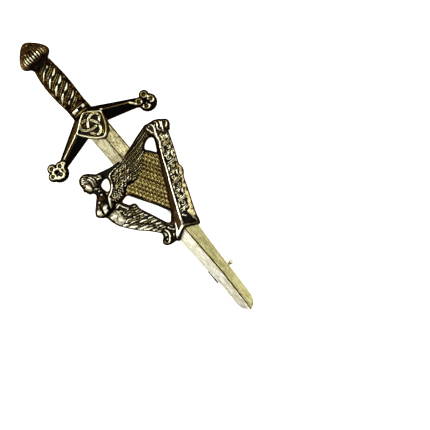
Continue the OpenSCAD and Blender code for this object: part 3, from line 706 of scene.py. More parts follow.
# Short leaves fill the corners of the field
for leaf in ([(-3.6, 20.6), (-2.6, 20.8)], [(3.0, 20.9), (3.5, 20.3)], [(-1.6, 16.3), (-0.7, 15.7)],
             [(1.6, 16.4), (1.0, 15.6)], [(0.4, 22.7), (1.2, 22.6)], [(-2.9, 18.0), (-2.4, 17.3)]):
    shield.ridge(leaf, 0.2, FIELD_H + 0.45, foot=FIELD_H, rub_and_sheen=-0.05)
rim_line = flowing(RIM, 3, closed=True)
shield.ridge(np.vstack([rim_line, rim_line[:1]]), 0.34, RIM_H, foot=FIELD_H - 0.2, rub_and_sheen=0.2)
worn_rim = (in_rim > -0.5) & (in_rim < 0.45) & (shield.x > 1.6) & (shield.y < 20.4) & (shield.high > 3.5)
shield.tint(worn_rim, 0.32)
shield.roll_edge(lip=1.4, width=0.45)
shield.soften()
shield_piece = shield.cast("shield", shield_plating, lift=0.06, dark_edge=0.3, reach=0.4, gain=0.45)
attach(shield_piece, "brooch")
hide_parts("casting")

# The grip

# The grip is cast as if wound with a thick strand and thin wires beside it, over a swelling
# core. A collar with a notched roll joins it to the guard. Its front is rubbed; its strands carry
# painted highlights on their flanks, and its sides are painted darker, as shade.

grip_plating = plated("grip_antique_gold", (0.045, 0.02, 0.005), (0.21, 0.155, 0.04), (0.93, 0.89, 0.64),
                      brown_from=0.18, brown_up_to=0.44, rubbed_from=0.76, patchy=0.26)
# A row: y, left edge, right edge, height of the core
GRIP = [(23.6, -3.2, 3.15, 3.0), (26.3, -3.15, 3.1, 3.0), (27.2, -3.15, 3.0, 3.0), (30, -3.5, 3.2, 3.1),
        (33, -3.72, 3.32, 3.3), (36, -3.75, 3.32, 3.4), (38.5, -3.58, 3.15, 3.3), (40.5, -3.25, 2.98, 3.1),
        (42.3, -2.85, 2.8, 2.9)]
PITCH, STRAND_AT, STRAND_COUNT = 2.76, 29.15, 5
WOUND_FROM, WOUND_TO = 26.9, 41.9
STRAND_RISE, WIRE_RISE = 0.8, 0.34  # how far they stand out of the core
# A strand's rise as it crosses the front, from the left edge to the right
STRAND = flowing([(-3.7, -3.3), (-2.4, -2.1), (-1.6, -1.2), (-0.6, -0.45), (0.2, -0.1), (1.1, 0.4),
                  (1.9, 1.1), (3.4, 2.4)], 4)
# Half its width from left to right, and how thick each turn is, from the lowest up
STRAND_X = (-3, -2.4, -1.7, -0.9, -0.4, 0.1, 0.6, 1.2, 1.8, 2.3)
STRAND_HALF = (0.1, 0.3, 0.58, 0.42, 0.13, 0.12, 0.4, 0.5, 0.32, 0.1)
TURN_SIZE = (0.8, 1.0, 1.15, 1.0, 0.72)
WIRES = [(1.0, 0.75, 0.24), (-1.1, 0.85, 0.26)]  # how far over the strand, pitch of its beads, half width
# Rolls of the collar, and the one under the pommel: level, half height, how far they stand out, rub
ROLLS = [(25.35, 0.58, 0.75, 0.3), (24.25, 0.4, 0.35, -0.2), (26.45, 0.3, 0.3, -0.25),
         (42.0, 0.35, 0.3, -0.22)]

grip = Wax(-4.1, 23.3, 3.7, 42.6, 0.08)
ys, left, right, core = np.array(GRIP, float).T
grip.blank(between_edges(left, right, ys), 0.5)
l, r, h = (np.interp(grip.y, ys, c) for c in (left, right, core))
across = np.clip((grip.x - (l + r) / 2) / ((r - l) / 2), -1, 1)
round_core = np.sqrt(1 - 0.93 * across**2)
rise = np.interp(grip.x, STRAND[:, 0], STRAND[:, 1])
q = (grip.y - rise - STRAND_AT) / PITCH
turn_no = np.round(q)
q = (q - turn_no) * PITCH  # distance up or down from the nearest strand's middle
size = np.interp(turn_no, range(STRAND_COUNT), TURN_SIZE)
strand = ROUND(np.abs(q) / (np.interp(grip.x, STRAND_X, STRAND_HALF) * size))
along = grip.x * 1.45
wires = np.zeros(q.shape)
for at, pitch, half in WIRES:
    beads = 0.5 + 0.5 * np.cos(2 * np.pi * (along / pitch + at * 3 + turn_no * 0.37))
    wires = np.maximum(wires, ROUND(np.abs(q - at) / half) * (0.62 + 0.38 * beads))
on_grip = (grip.y > WOUND_FROM) & (grip.y < WOUND_TO)
h = h - 0.35 * on_grip
winding = np.maximum(STRAND_RISE * strand, WIRE_RISE * wires) * round_core
grip.high = np.where(on_grip, h * round_core + winding, h * round_core)
front = np.clip((2.42 - np.abs(grip.x + 0.22)) / 0.5, 0, 1)
in_reach = on_grip & (turn_no > -0.5) & (turn_no < STRAND_COUNT - 0.5)
# The top turn stops short on the right, and the lowest one on the left
short = (grip.y > 40.4) & (grip.x > 1.1) | (grip.y < 28.7) & (grip.x < -1.35)
on_strand = in_reach & (strand > 0.15) & (front > 0) & ~short
worn = blurred(np.random.default_rng(5).random(grip.x.shape), np.ones(grip.x.shape), 2) - 0.5
# Painted highlights on each strand's two flanks with a painted dark dip between them, and painted shade on
# the sides that turn away
grip.rub_and_sheen = np.where(on_strand, 0.3 - 0.6 * np.exp(-((grip.x + 0.05) / 0.26) ** 2), -0.1) - 0.42 * (1 - front)
in_front = 0.5 * np.clip(wires * 1.3 - 0.2, 0, 1) * front * (1 + 6 * worn)
at_sides = (1 - front) * (0.2 + 4 * worn)
grip.tint(on_grip, 0.02 + in_front + at_sides)
grip.tint(on_strand, np.nan)
# The rolls too are painted darker on the sides that turn away, as shade
for level, half, out_by, rub_and_sheen in ROLLS:
    t = np.abs(grip.y - level) / half
    grip.high = np.where(t < 1, np.maximum(grip.high, (core[0] + out_by * ROUND(t)) * round_core), grip.high)
    grip.rub_and_sheen = np.where(t < 1, rub_and_sheen - 0.5 * (1 - front), grip.rub_and_sheen)
notch = (np.abs(grip.x - 0.33) < 0.62) & (grip.y > 24.8) & (grip.y < 25.75)
grip.high = np.where(notch, grip.high - 0.8, grip.high)
grip.tint(notch, 0.04)
# Painted shade where the collar turns away at both sides
grip.tint((np.abs(grip.x) > 2.12) & (np.abs(grip.x) < 2.6) & (grip.y < 26) & (grip.y > 24.7), 0.1)
grip.tint([(-1.5, 41.5), (0.5, 41.5), (-0.2, 42.0), (-1.2, 42.0)], 0.52)
# Painted light along the left flank, which faces the light, in random patches
grip.tint((grip.x < l + 0.75) & (grip.x > l + 0.25) & on_grip & (grip.y > 29), 0.29 + 3 * worn)
grip.roll_edge(lip=0.5, width=0.3)
grip.soften()
grip_piece = grip.cast("grip", grip_plating, lift=0.03, dark_edge=0.24, reach=0.36, gain=0.45)
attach(grip_piece, "brooch")
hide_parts("casting")

# The pommel

# The pommel is the one part cast in the round: a reeded bulb that draws in to a cone with a small
# button near its point. It stands out behind the flat back. Its reeds are rubbed, with a painted
# highlight in a band across the bulb's top; its left flank and the button's left half are painted lighter, as
# lit.

pommel_plating = plated("pommel_antique_gold", (0.042, 0.021, 0.007), (0.18, 0.125, 0.033),
                        (0.90, 0.85, 0.58), brown_from=0.17, brown_up_to=0.48, rubbed_from=0.78, patchy=1.1)
# A row: y, radius, depth of the reeds
POMMEL = [(41.5, 2.5, 0), (42.0, 2.78, 0), (42.4, 2.95, 0), (42.8, 3.35, 0.05), (43.2, 4.0, 0.2),
          (43.6, 4.5, 0.34), (44.1, 4.82, 0.45), (44.6, 4.93, 0.5), (45.2, 4.86, 0.5), (45.8, 4.6, 0.42),
          (46.4, 4.25, 0.3), (46.9, 3.9, 0.2), (47.3, 3.6, 0.1), (47.8, 3.15, 0), (48.4, 2.55, 0),
          (48.9, 2.05, 0), (49.3, 1.6, 0), (49.6, 1.15, 0), (49.85, 0.7, 0), (50.0, 0.25, 0)]
POMMEL_X, POMMEL_Z = -0.3, 6.1
REEDS, FACETS = 34, 306
BUTTON = (48.6, 0.5)  # its level and half size
# Painted highlight as well as wear: between these levels the reeds are rubbed and painted bright
WORN_SHEEN_FROM, WORN_SHEEN_TO, FAINT_TO = 43.7, 45.7, 46.8  # levels between which the reeds are rubbed
FADE = 0.4  # over what length the rubbed gold fades out

profile = flowing(POMMEL, 4)
turn = np.arange(FACETS) * 2 * np.pi / FACETS
chance = np.random.default_rng(3)
lengths = chance.uniform(-0.6, 0.35, REEDS)  # no two reeds are rubbed over the same length
glow = chance.uniform(0.45, 1.0, REEDS)
break_at = chance.uniform(44.1, 46.6, REEDS)  # where the rubbed gold is broken off
reed = np.round((turn - np.pi / 2) * REEDS / 2 / np.pi).astype(int) % REEDS
points, crest = [], []
for y, r, depth in profile:
    wave = (0.5 + 0.5 * np.cos(REEDS * (turn - np.pi / 2))) ** 0.7
    rr = r - depth * (1 - wave)
    x, z = POMMEL_X + rr * np.cos(turn), POMMEL_Z + rr * np.sin(turn)
    off = np.hypot(x - POMMEL_X - 0.6, y - BUTTON[0])
    boss = (z > POMMEL_Z) * ROUND(off / BUTTON[1])
    points.append(np.column_stack([x, np.full(FACETS, y), z + 0.25 * boss]))
    front = np.clip((4.3 - np.abs(x + 0.35)) / 0.7, 0, 1) * (z > POMMEL_Z + 0.5)
    middle = np.clip((2.8 - np.abs(x + 0.35)) / 0.4, 0.4, 1)
    starts = WORN_SHEEN_FROM + 0.5 * lengths[(reed + 5) % REEDS]
    above = np.clip((y - starts) / FADE, 0, 1)
    band = above * np.clip((WORN_SHEEN_TO + lengths[reed] - y) / FADE, 0, 1) * middle * glow[reed]
    band = band * (1 - 0.9 * np.exp(-((y - break_at[reed]) / 0.22) ** 2))
    faint = above * np.clip((FAINT_TO + 1.2 * lengths[reed] - y) / FADE, 0, 1)
    # Painted highlight as well as wear: in the band the reeds' crests are painted bright and their hollows
    # dark
    lit = 0.26 + front * (band * (2.2 * wave - 1.1) + (faint - band) * (0.8 * wave - 0.5))
    # The left flank is painted lighter, as lit
    lit = np.where((y > WORN_SHEEN_FROM) & (y < 46) & (front < 0.3) & (x < 0), 0.46, lit)  # the left flank
    lit = lit * np.clip((y - 42.9) / 0.8, 0.0, 1)
    round_button = (boss == 0) & (off < BUTTON[1] + 0.25) & (z > POMMEL_Z)
    # The button's left half is painted lighter, as lit
    lit = np.where(round_button, 0.08, lit + 0.3 * boss * (x < 0.3))
    crest.append(lit)
rings = len(profile)
points.append([[POMMEL_X, profile[0][0], POMMEL_Z], [POMMEL_X, 50.02, POMMEL_Z]])
crest.append([0.2, 0.3])
points, crest = np.vstack(points), np.concatenate(crest)
faces = []
for i in range(rings - 1):
    for j in range(FACETS):
        a, b = i * FACETS + j, i * FACETS + (j + 1) % FACETS
        faces.append((a, a + FACETS, b + FACETS, b))
top = (rings - 1) * FACETS
for j in range(FACETS):
    faces.append((rings * FACETS, j, (j + 1) % FACETS))
    faces.append((rings * FACETS + 1, top + (j + 1) % FACETS, top + j))
pommel = solid_piece("pommel", points * MM, faces, crest, pommel_plating)
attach(pommel, "brooch")
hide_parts("casting")

# The harp

# The harp is cast across the blade in one with it: a winged maiden leans out at its front, her
# wing makes its neck and a carved pillar its back, and twisted strings fill it. Three openings
# are pierced right through. All of it is antique plated and rubbed on its crests.

harp_plating = plated("harp_antique_gold", (0.06, 0.027, 0.008), (0.30, 0.255, 0.115), (0.92, 0.89, 0.69),
                      brown_from=0.17, brown_up_to=0.34, rubbed_from=0.76, patchy=0.3)
string_plating = plated("string_antique_gold", (0.06, 0.027, 0.008), (0.31, 0.25, 0.075), (0.93, 0.89, 0.64),
                        brown_from=0.17, brown_up_to=0.34, rubbed_from=0.76, patchy=0.3)
HARP_EDGE = [
    (-12.2, 10.4), (-11.0, 10.3), (-9.6, 9.4), (-8.4, 8.25), (-7.4, 7.95), (-5, 7.3), (-2.75, 6.9),
    (0, 6.75), (1.75, 7.0), (5.25, 8.1), (7.5, 8.9), (10, 9.6), (11.4, 9.95), (12.7, 9.45), (13.9, 9.5),
    (15.1, 9.0), (16.3, 8.15), (17.3, 7.3), (17.5, 6.4), (17.1, 5.5), (16.5, 4.85), (16.2, 4.3), (15.6, 4.3),
    (14.5, 1.5), (13.4, -1.25), (12.3, -3.7), (11.85, -4.9), (12.0, -6.0), (11.6, -7.2), (10.85, -8.1),
    (10.4, -8.9), (9.5, -11.3), (7.8, -15.5), (6.5, -18.8), (6.25, -19.9), (6.0, -20.8), (5.3, -21.8),
    (3.3, -20.9), (1.3, -20.1), (-0.5, -20.9), (-2.25, -21.9), (-2.9, -21.3), (-4.6, -21.1), (-5.8, -20.6),
    (-6.4, -19.7), (-6.2, -18.8), (-5.4, -18.2), (-4.95, -17.5), (-5.1, -16.6), (-7.25, -14.05),
    (-9.4, -12.0), (-11.5, -9.4), (-12.95, -7.25), (-13.75, -5.0), (-14.1, -3.4), (-15.3, -2.55),
    (-16.1, -1.3), (-15.5, -0.1), (-14.3, 1.2), (-13.1, 2.4), (-12.3, 3.2), (-12.2, 3.9)]
# The maiden's profile is a plain classical one, drawn to the usual thirds
PROFILE = [(-12.75, 4.5), (-13.35, 4.65), (-13.6, 5.0), (-13.65, 5.3), (-13.85, 5.5), (-13.75, 5.75),
           (-13.95, 6.0), (-14.3, 6.3), (-14.0, 7.0), (-13.9, 7.6), (-14.0, 8.3), (-13.75, 9.1),
           (-13.2, 9.95)]
OPENINGS = [
    [(-9.4, 4.5), (-8.0, 5.35), (-7.0, 5.25), (-6.75, 4.5), (-7.25, 3.25), (-8.1, 2.3), (-9.1, 2.35)],
    [(7.05, 4.75), (8.5, 6.0), (10.0, 6.25), (10.8, 5.7), (10.6, 4.6), (9.8, 3.1), (9.05, 1.9), (8.1, 3.2)],
    [(-7.6, -2.75), (-5.6, -2.3), (-4.75, -3.25), (-3.0, -6.25), (-1.0, -9.5), (0.25, -12.0), (1.1, -13.75),
     (0.1, -15.0), (-0.75, -15.9), (-1.6, -15.4), (-2.5, -13.25), (-3.75, -10.25), (-4.9, -7.5),
     (-4.95, -5.75), (-5.6, -5.1), (-6.6, -4.75), (-7.25, -3.75)]]
STRING_H, WING_H, PILLAR_H, FACE_H, BODY_H, HEAD_H = 2.1, 3.0, 3.6, 2.4, 3.4, 4.1

harp = Wax(-17.0, -22.6, 18.2, 11.2, 0.095)
harp.blank(np.vstack([flowing(HARP_EDGE, 3), PROFILE]), 1.2)
chance = np.random.default_rng(7)

# Strings: twisted cords side by side, with a fine dark one between each two
FIELD = [(-6.4, -1.6), (-3, 1.5), (3, 3.2), (6.6, 5.6), (9.3, 2.2), (9.6, 1.6), (4.9, -7.5), (1.4, -14.4)]
STRING_TURN, STRING_GAP, STRING_COUNT, STRING_LONG = -61.2, 1.12, 14, 32
WEB_H = 1.2  # the web behind the strings
CORD_TWIST, THREAD_TWIST = (1.15, 0.6, 0.55), (0.95, 0.5, 0.75)
in_field = harp.within(FIELD)
harp.high = np.where(in_field, WEB_H, harp.high)
run = np.array([math.cos(math.radians(STRING_TURN)), math.sin(math.radians(STRING_TURN))])
square = np.array([-run[1], run[0]])
for k in range(STRING_COUNT):
    start = np.array([-5.0, -2.3]) + square * (k * STRING_GAP) - run * (12 + chance.uniform(0, 1))
    harp.ridge([start, start + run * STRING_LONG], 0.37, STRING_H + 0.2, foot=WEB_H, twist=CORD_TWIST,
               only=in_field, rub_and_sheen=-0.13 + chance.uniform(-0.08, 0.08))
    start = start + square * STRING_GAP / 2 - run * chance.uniform(0, 1)
    harp.ridge([start, start + run * STRING_LONG], 0.25, 2.15, foot=WEB_H, twist=THREAD_TWIST, only=in_field,
               rub_and_sheen=-0.2 + chance.uniform(-0.08, 0.08))

# Wing: a shoulder ridge, dots at the root, rows of small scalloped feathers, then long fine ones
WING = [(-7.6, 8.2), (-2.75, 7.2), (0, 7.0), (5.25, 8.3), (11.5, 10.2), (11.2, 7), (7.2, 4.7), (6.0, 4.2),
        (4.5, 3.4), (3.6, 1.9), (1.75, 0.75), (0.25, -0.25), (-2.0, -0.45), (-4.0, -0.3), (-5.5, -1.6),
        (-7.75, -2.3), (-9.6, -1.4), (-10.4, 0.4), (-7.6, 2.3), (-6.8, 4.5), (-6.9, 5.6), (-7.9, 6.2)]
WING_WEB_H, WING_FOOT = 1.9, 1.8  # the web, and the level that its feathers rise from


def depth_in(outline, x, y):
    """How far inside an outline one place lies."""
    return inside_of(np.array([x]), np.array([y]), outline)[0]


on_wing = harp.within(WING)
harp.high = np.where(on_wing, WING_WEB_H, harp.high)
harp.tint(on_wing, 0.06)
SHOULDER = flowing([(-9.7, 0.75), (-8.4, 1.3), (-7.3, 2.1), (-6.5, 3.2), (-6.0, 4.5), (-5.55, 5.3),
                    (-4.6, 5.62), (-2.5, 5.8), (-0.5, 6.05), (0.6, 6.3)])
# Long feathers: where each one's tip lies, from the lowest up
TIPS = [(0.6, -0.1), (1.9, 0.65), (2.9, 1.2), (3.6, 1.9), (4.2, 2.7), (4.8, 3.4), (5.8, 4.05), (6.8, 4.45),
        (7.7, 5.1), (8.3, 5.9), (9.1, 6.6), (10.0, 7.1), (10.7, 7.7), (11.0, 8.4)]
for k, tip in enumerate(TIPS):
    root = np.array([-0.9 + 0.13 * k, 0.45 + 0.43 * k])
    bend = root * 0.45 + np.array(tip) * 0.55 - (0, 0.28)
    path = flowing([root, bend, tip], 7)
    harp.ridge(path, [0.12, 0.16, 0.15, 0.08], [2.9, 2.95, 2.8], foot=WING_FOOT, twist=(0.8, 0, 0.4),
               rub_and_sheen=-0.1 if k % 2 else -0.4)
for line in ([(0.9, 6.35), (5.2, 8.0), (10.9, 9.4)], [(1.0, 6.1), (5.2, 7.5), (10.6, 9.0)]):
    harp.ridge(flowing(line), [0.13, 0.17, 0.14], WING_H + 0.2, foot=2.0, rub_and_sheen=0.1)
# Where the small feathers and the dots are
SMALL = [(-6.4, 0.9), (-5.7, 3.3), (-5.2, 5.2), (-0.3, 5.7), (0.3, 5.8), (-0.3, 3.0), (-0.6, -0.1),
         (-4.2, 0.0)]
DOTS = [(-9.7, 0.1), (-8.6, 0.9), (-7.3, 1.5), (-6.4, 2.2), (-4.3, 0.3), (-5.6, -1.1), (-7.7, -1.8),
        (-9.1, -1.3)]
FEATHER_W, FEATHER_STEP, DOT_W, DOT_STEP = 1.0, 0.62, 0.72, 0.6  # spacing along a row and from row to row
for row in range(9):
    for place in range(7):
        x = -6.0 + FEATHER_W * place + (row % 2) * FEATHER_W / 2 + chance.uniform(-0.16, 0.16)
        y = 0.1 + FEATHER_STEP * row + chance.uniform(-0.1, 0.1)
        if depth_in(SMALL, x, y) < 0.12:
            continue
        lean = chance.uniform(-0.1, 0.16)
        bow = flowing([(x - 0.4, y + 0.16), (x - 0.16, y - 0.08), (x + 0.18, y - 0.04 + lean),
                       (x + 0.4, y + 0.18 + lean)], 3)
        harp.ridge(bow, 0.16, WING_H - chance.uniform(0, 0.3), foot=WING_FOOT, rub_and_sheen=chance.uniform(-0.5, 0.1))
        harp.dome((x + chance.uniform(-0.15, 0.15), y + 0.27), 0.14, 2.8, foot=WING_FOOT, rub_and_sheen=-0.25)
for row in range(8):
    for place in range(9):
        x = -9.9 + DOT_W * place + (row % 2) * DOT_W / 2 + chance.uniform(-0.12, 0.12)
        y = -1.9 + DOT_STEP * row + chance.uniform(-0.08, 0.08)
        if depth_in(DOTS, x, y) > 0.05:
            harp.dome((x, y), (0.34, 0.18), WING_H + 0.2 - chance.uniform(0, 0.4),
                      turn=chance.uniform(20, 120), foot=WING_FOOT, rub_and_sheen=chance.uniform(-0.3, 1.0))
harp.groove(SHOULDER, 0.55, 0.5, rub_and_sheen=-0.5)
harp.ridge(SHOULDER, [0.28, 0.27, 0.24, 0.17, 0.1], 3.4, foot=WING_FOOT, rub_and_sheen=0.3)
low_edge = flowing([(-9.7, -1.7), (-7.75, -2.3), (-5.5, -1.55), (-4.0, -0.2), (-2.0, -0.35), (0.3, -0.4)])
harp.groove(low_edge, 0.27, 0.8, rub_and_sheen=-0.4)

# Pillar: a brown bevel up to a bright ridge, then a leafy face between it and a plain rim
# A row: y, inner edge, ridge, outer edge
PILLAR = [(-20.4, -1.4, 0.2, 6.0), (-19.5, -1.0, 0.7, 6.25), (-17.5, -0.5, 1.8, 7.0), (-15.6, 0.0, 2.6, 7.8),
          (-12.5, 2.1, 3.95, 9.0), (-10, 3.3, 5.05, 10.0), (-7.5, 4.7, 6.15, 11.0), (-5, 5.75, 7.4, 11.8),
          (-2.5, 7.15, 8.5, 12.9), (0, 8.45, 9.55, 13.9), (1.5, 9.2, 10.25, 14.5), (4.75, 10.75, 11.6, 15.8),
          (6.8, 11.0, 12.0, 16.4)]
BEVEL_FOOT = 1.3
py, inner, ridge_at, outer = np.array(PILLAR, float).T
ci, cr, co = (np.interp(harp.y, py, c) for c in (inner, ridge_at, outer))
in_pillar = (harp.y < 6.5) & (harp.y > -19.8)
bevel = in_pillar & (harp.x > ci) & (harp.x <= cr)
harp.high = np.where(bevel, BEVEL_FOOT + (PILLAR_H - BEVEL_FOOT) * (harp.x - ci) / (cr - ci), harp.high)
harp.tint(bevel, 0.25)
harp.tint(bevel & (harp.x < ci + 0.25) | bevel & (harp.x > cr - 0.42), 0.08)
face = in_pillar & (harp.x > cr) & (harp.x < co)
harp.high = np.where(face, FACE_H, harp.high)
harp.tint(face, 0.05)


def rim_at(y):
    """Width of the plain rim at that level: narrow by the crown, broad by the foot."""
    return np.interp(y, [-13, -6, 1], [1.35, 1.05, 0.5])


def on_face(y, share):
    """Place on the pillar's face at that level, as a share of the way from its ridge to its rim."""
    a, b = np.interp(y, py, ridge_at) + 0.5, np.interp(y, py, outer) - rim_at(y) - 0.05
    return np.array([a + (b - a) * share, y])


# Foliage: scrolls, leaves that sweep across and berries, turned over from one bay to the next
BAY, BAYS = 2.5, 8
CURL_RISE, LEAF_RISE, BERRY_RISE, RIM_RISE = 0.85, 0.75, 0.7, 0.45  # how far they stand out of the face
# The leaves of a bay: points as (down from its top, share of the face), half width, rub
BAY_LEAVES = [(((-0.9, 0.05), (-0.3, 0.16), (0.5, 0.1)), 0.26, 0.25),
              (((0.75, 0.0), (1.1, 0.35), (0.95, 0.85)), 0.27, 0.1),
              (((1.55, 1.0), (1.45, 0.6), (1.75, 0.2)), 0.22, 0.15),
              (((-0.7, 1.02), (-1.0, 0.8), (-0.75, 0.45)), 0.2, 0.05),
              (((0.3, 1.05), (0.75, 1.0)), 0.18, 0.2)]
# Its berries: down from its top, share of the face, radius
BERRIES = [(-0.1, 0.18, 0.22), (1.3, 0.1, 0.2), (0.55, 0.42, 0.16), (1.2, 0.98, 0.2), (1.9, 0.5, 0.19),
           (1.75, 0.8, 0.15)]
for k in range(BAYS):
    top = 3.3 - k * BAY

    def leaf_at(down, share):
        """Place in this bay, turned over in every other one."""
        return on_face(top - down, share if k % 2 else 1 - share)

    hand = 1 if k % 2 else -1
    harp.curl(leaf_at(chance.uniform(-0.2, 0.2), chance.uniform(0.5, 0.7)), chance.uniform(0.75, 0.95),
              FACE_H + CURL_RISE, start=90 + 90 * hand + chance.uniform(-50, 50),
              turns=chance.uniform(0.9, 1.3), hand=hand, width=0.19, foot=FACE_H,
              rub_and_sheen=chance.uniform(-0.3, 0.05))
    for points, width, rub_and_sheen in BAY_LEAVES:
        harp.ridge(flowing([leaf_at(*p) for p in points], 4), [width * 0.35, width * 0.88, width * 0.45],
                   FACE_H + LEAF_RISE + chance.uniform(-0.15, 0.1), foot=FACE_H,
                   rub_and_sheen=rub_and_sheen - 0.06 + chance.uniform(-0.14, 0.14))
    for down, share, size in BERRIES:
        harp.dome(leaf_at(down, share), size, FACE_H + BERRY_RISE, foot=FACE_H, rub_and_sheen=chance.uniform(-0.2, 0.3))
rim_in = rim_at(harp.y) + 0.15 * np.sin(harp.y * 2.3) + 0.1 * np.sin(harp.y * 5.1)
rim = face & (harp.x > co - rim_in)
harp.high = np.where(rim, np.maximum(harp.high, FACE_H + RIM_RISE), harp.high)
# Worn clouds on the rim, the foot and the waist
worn = blurred(chance.random(harp.x.shape), np.ones(harp.x.shape), 2)
worn = np.clip(0.38 + (worn - 0.5) * 4.2, 0.05, 0.66)
harp.tone = np.where(rim, worn, harp.tone)
bright_edge = np.column_stack([ridge_at + 0.13, py])[2:-2]
harp.ridge(bright_edge, [0.38, 0.33, 0.26, 0.16], PILLAR_H + 0.15, foot=2.6, rub_and_sheen=0.35)
harp.groove(np.column_stack([ridge_at + 0.58, py])[3:-3], 0.14, 0.4, rub_and_sheen=-0.5)
# One curl bulges out of the rim
harp.dome((11.2, -6.6), (0.95, 1.5), 2.5, turn=-22, rub_and_sheen=-0.2)
harp.curl((11.1, -6.5), 0.8, 3.0, start=0, turns=1.1, width=0.22, foot=1.6, rub_and_sheen=-0.1)
harp.ridge([(11.5, -7.4), (11.75, -6.2), (11.4, -5.1)], 0.2, 2.9, foot=1.6, rub_and_sheen=-0.2)

# Crown: rolled leaf ends gathered on top of the pillar, where the wing meets it
CROWN_H, CROWN_FOOT = 3.9, 2.4
harp.blank(flowing([(10.9, 9.6), (13.9, 9.4), (16.3, 8), (17.3, 6.6), (16.2, 4.6), (13.5, 4.2), (11.7, 5.2),
                    (10.9, 7.4)], closed=True), CROWN_FOOT)
harp.tint(flowing([(10.3, 9.0), (13.9, 9.2), (16.5, 8), (17.2, 6.6), (16.2, 4.8), (13.5, 4.6), (11.7, 5.0),
                   (10.3, 7.2)], closed=True), 0.24)
# The leaf ends: a row's line and half its width
CROWN = [([(11.3, 8.9), (11.15, 8.3), (11.4, 7.6), (11.5, 6.9), (11.9, 6.4)], 0.27),
         ([(12.7, 8.9), (12.95, 8.3), (12.85, 7.3), (12.35, 6.3), (12.0, 5.2), (11.75, 4.0), (11.3, 3.0),
           (10.7, 1.9)], 0.36),
         ([(13.4, 9.0), (14.1, 8.8), (14.4, 8.1), (13.95, 7.4), (13.6, 6.6), (13.8, 5.9)], 0.28),
         ([(14.8, 8.6), (15.25, 8.0), (15.0, 7.2), (14.5, 6.5)], 0.25),
         ([(15.9, 7.8), (15.3, 7.0), (14.7, 5.9), (14.3, 5.2)], 0.28),
         ([(16.2, 7.4), (16.85, 6.9), (16.5, 6.2), (15.7, 5.6)], 0.26),
         ([(13.4, 4.9), (12.9, 4.6), (12.9, 3.8), (12.6, 3.2)], 0.4), ([(13.6, 8.2), (13.4, 7.8)], 0.2),
         ([(12.1, 8.9), (11.9, 8.5)], 0.24), ([(11.1, 1.45), (10.5, 1.3), (10.3, 0.7)], 0.3),
         ([(16.1, 4.7), (15.9, 5.0)], 0.28)]
for k, (line, width) in enumerate(CROWN):
    harp.ridge(flowing(line, 4), [width * 0.7, width * 1.1, width * 0.8], CROWN_H, foot=CROWN_FOOT,
               twist=(1.3, 0.7, 0.3), rub_and_sheen=0.1 if k % 3 == 1 else -0.16)
harp.curl((14.0, 3.65), 0.95, 3.4, start=120, turns=1.1, width=0.27, foot=2.2, rub_and_sheen=0.1)

# Foot: the ridge spreads into a chevron over the blade, beside a black panel and a pale one
FOOT_H, FOOT_FROM = 3.2, 1.6
harp.tint([(2.1, -17.9), (3.0, -17.2), (4.7, -17.0), (5.2, -20.9), (4.3, -20.5), (1.9, -19.5)], 0.04)
PALE = [(4.75, -16.7), (6.7, -16.2), (6.15, -18.7), (5.75, -19.8), (5.25, -20.8), (4.95, -18.8)]
harp.high = np.where(harp.within(PALE), 3.0, harp.high)
harp.tint(PALE, worn + 0.12)
CHEVRON = [(1.3, -18.6), (-0.7, -19.3), (-2.9, -21.2), (-2.3, -21.75), (1.3, -20.1), (5.2, -21.6),
           (5.2, -20.9), (2.6, -19.5)]
deep = inside_of(harp.x, harp.y, CHEVRON)
harp.high = np.where(deep > 0, 2.6 + np.clip(deep * 1.6, 0, 0.7), harp.high)
harp.tint(deep > 0, 0.84)
harp.tint((deep > 0) & (harp.x > 1.5), 0.55)
# Its leaves and ridges: a row's line, half its width, its rub
FOOT_LEAVES = [([(2.6, -15.5), (1.65, -17.8), (0.75, -19.2)], [0.3, 0.42, 0.5], 0.4),
               ([(0.15, -17.0), (-0.6, -18.6), (-1.9, -20.3)], [0.2, 0.42, 0.36], 0.4),
               ([(1.2, -19.35), (-0.3, -19.8), (-2.2, -20.85)], [0.3, 0.4, 0.3], 0.35),
               ([(2.2, -19.7), (3.3, -20.2), (4.6, -20.95)], [0.22, 0.27, 0.2], 0.12),
               ([(3.3, -16.7), (3.8, -17.5)], [0.4, 0.3], 0.1),
               ([(2.2, -17.3), (1.9, -18.4)], [0.2, 0.25], -0.1),
               ([(-2.45, -16.0), (-2.2, -16.9), (-1.95, -17.7)], [0.2, 0.3, 0.2], 0.12),
               ([(-1.4, -16.7), (-1.15, -17.4)], [0.2, 0.15], 0.0),
               ([(-1.7, -18.0), (-1.3, -18.2)], 0.24, 0.1),
               ([(-2.3, -19.2), (-2.9, -20.1)], [0.35, 0.25], -0.15)]
for line, width, rub_and_sheen in FOOT_LEAVES:
    harp.ridge(flowing(line, 4), width, FOOT_H, foot=FOOT_FROM, rub_and_sheen=rub_and_sheen)
harp.groove([(-2.85, -21.15), (1.2, -19.72), (5.25, -21.55)], 0.17, 1.0, rub_and_sheen=-0.6)

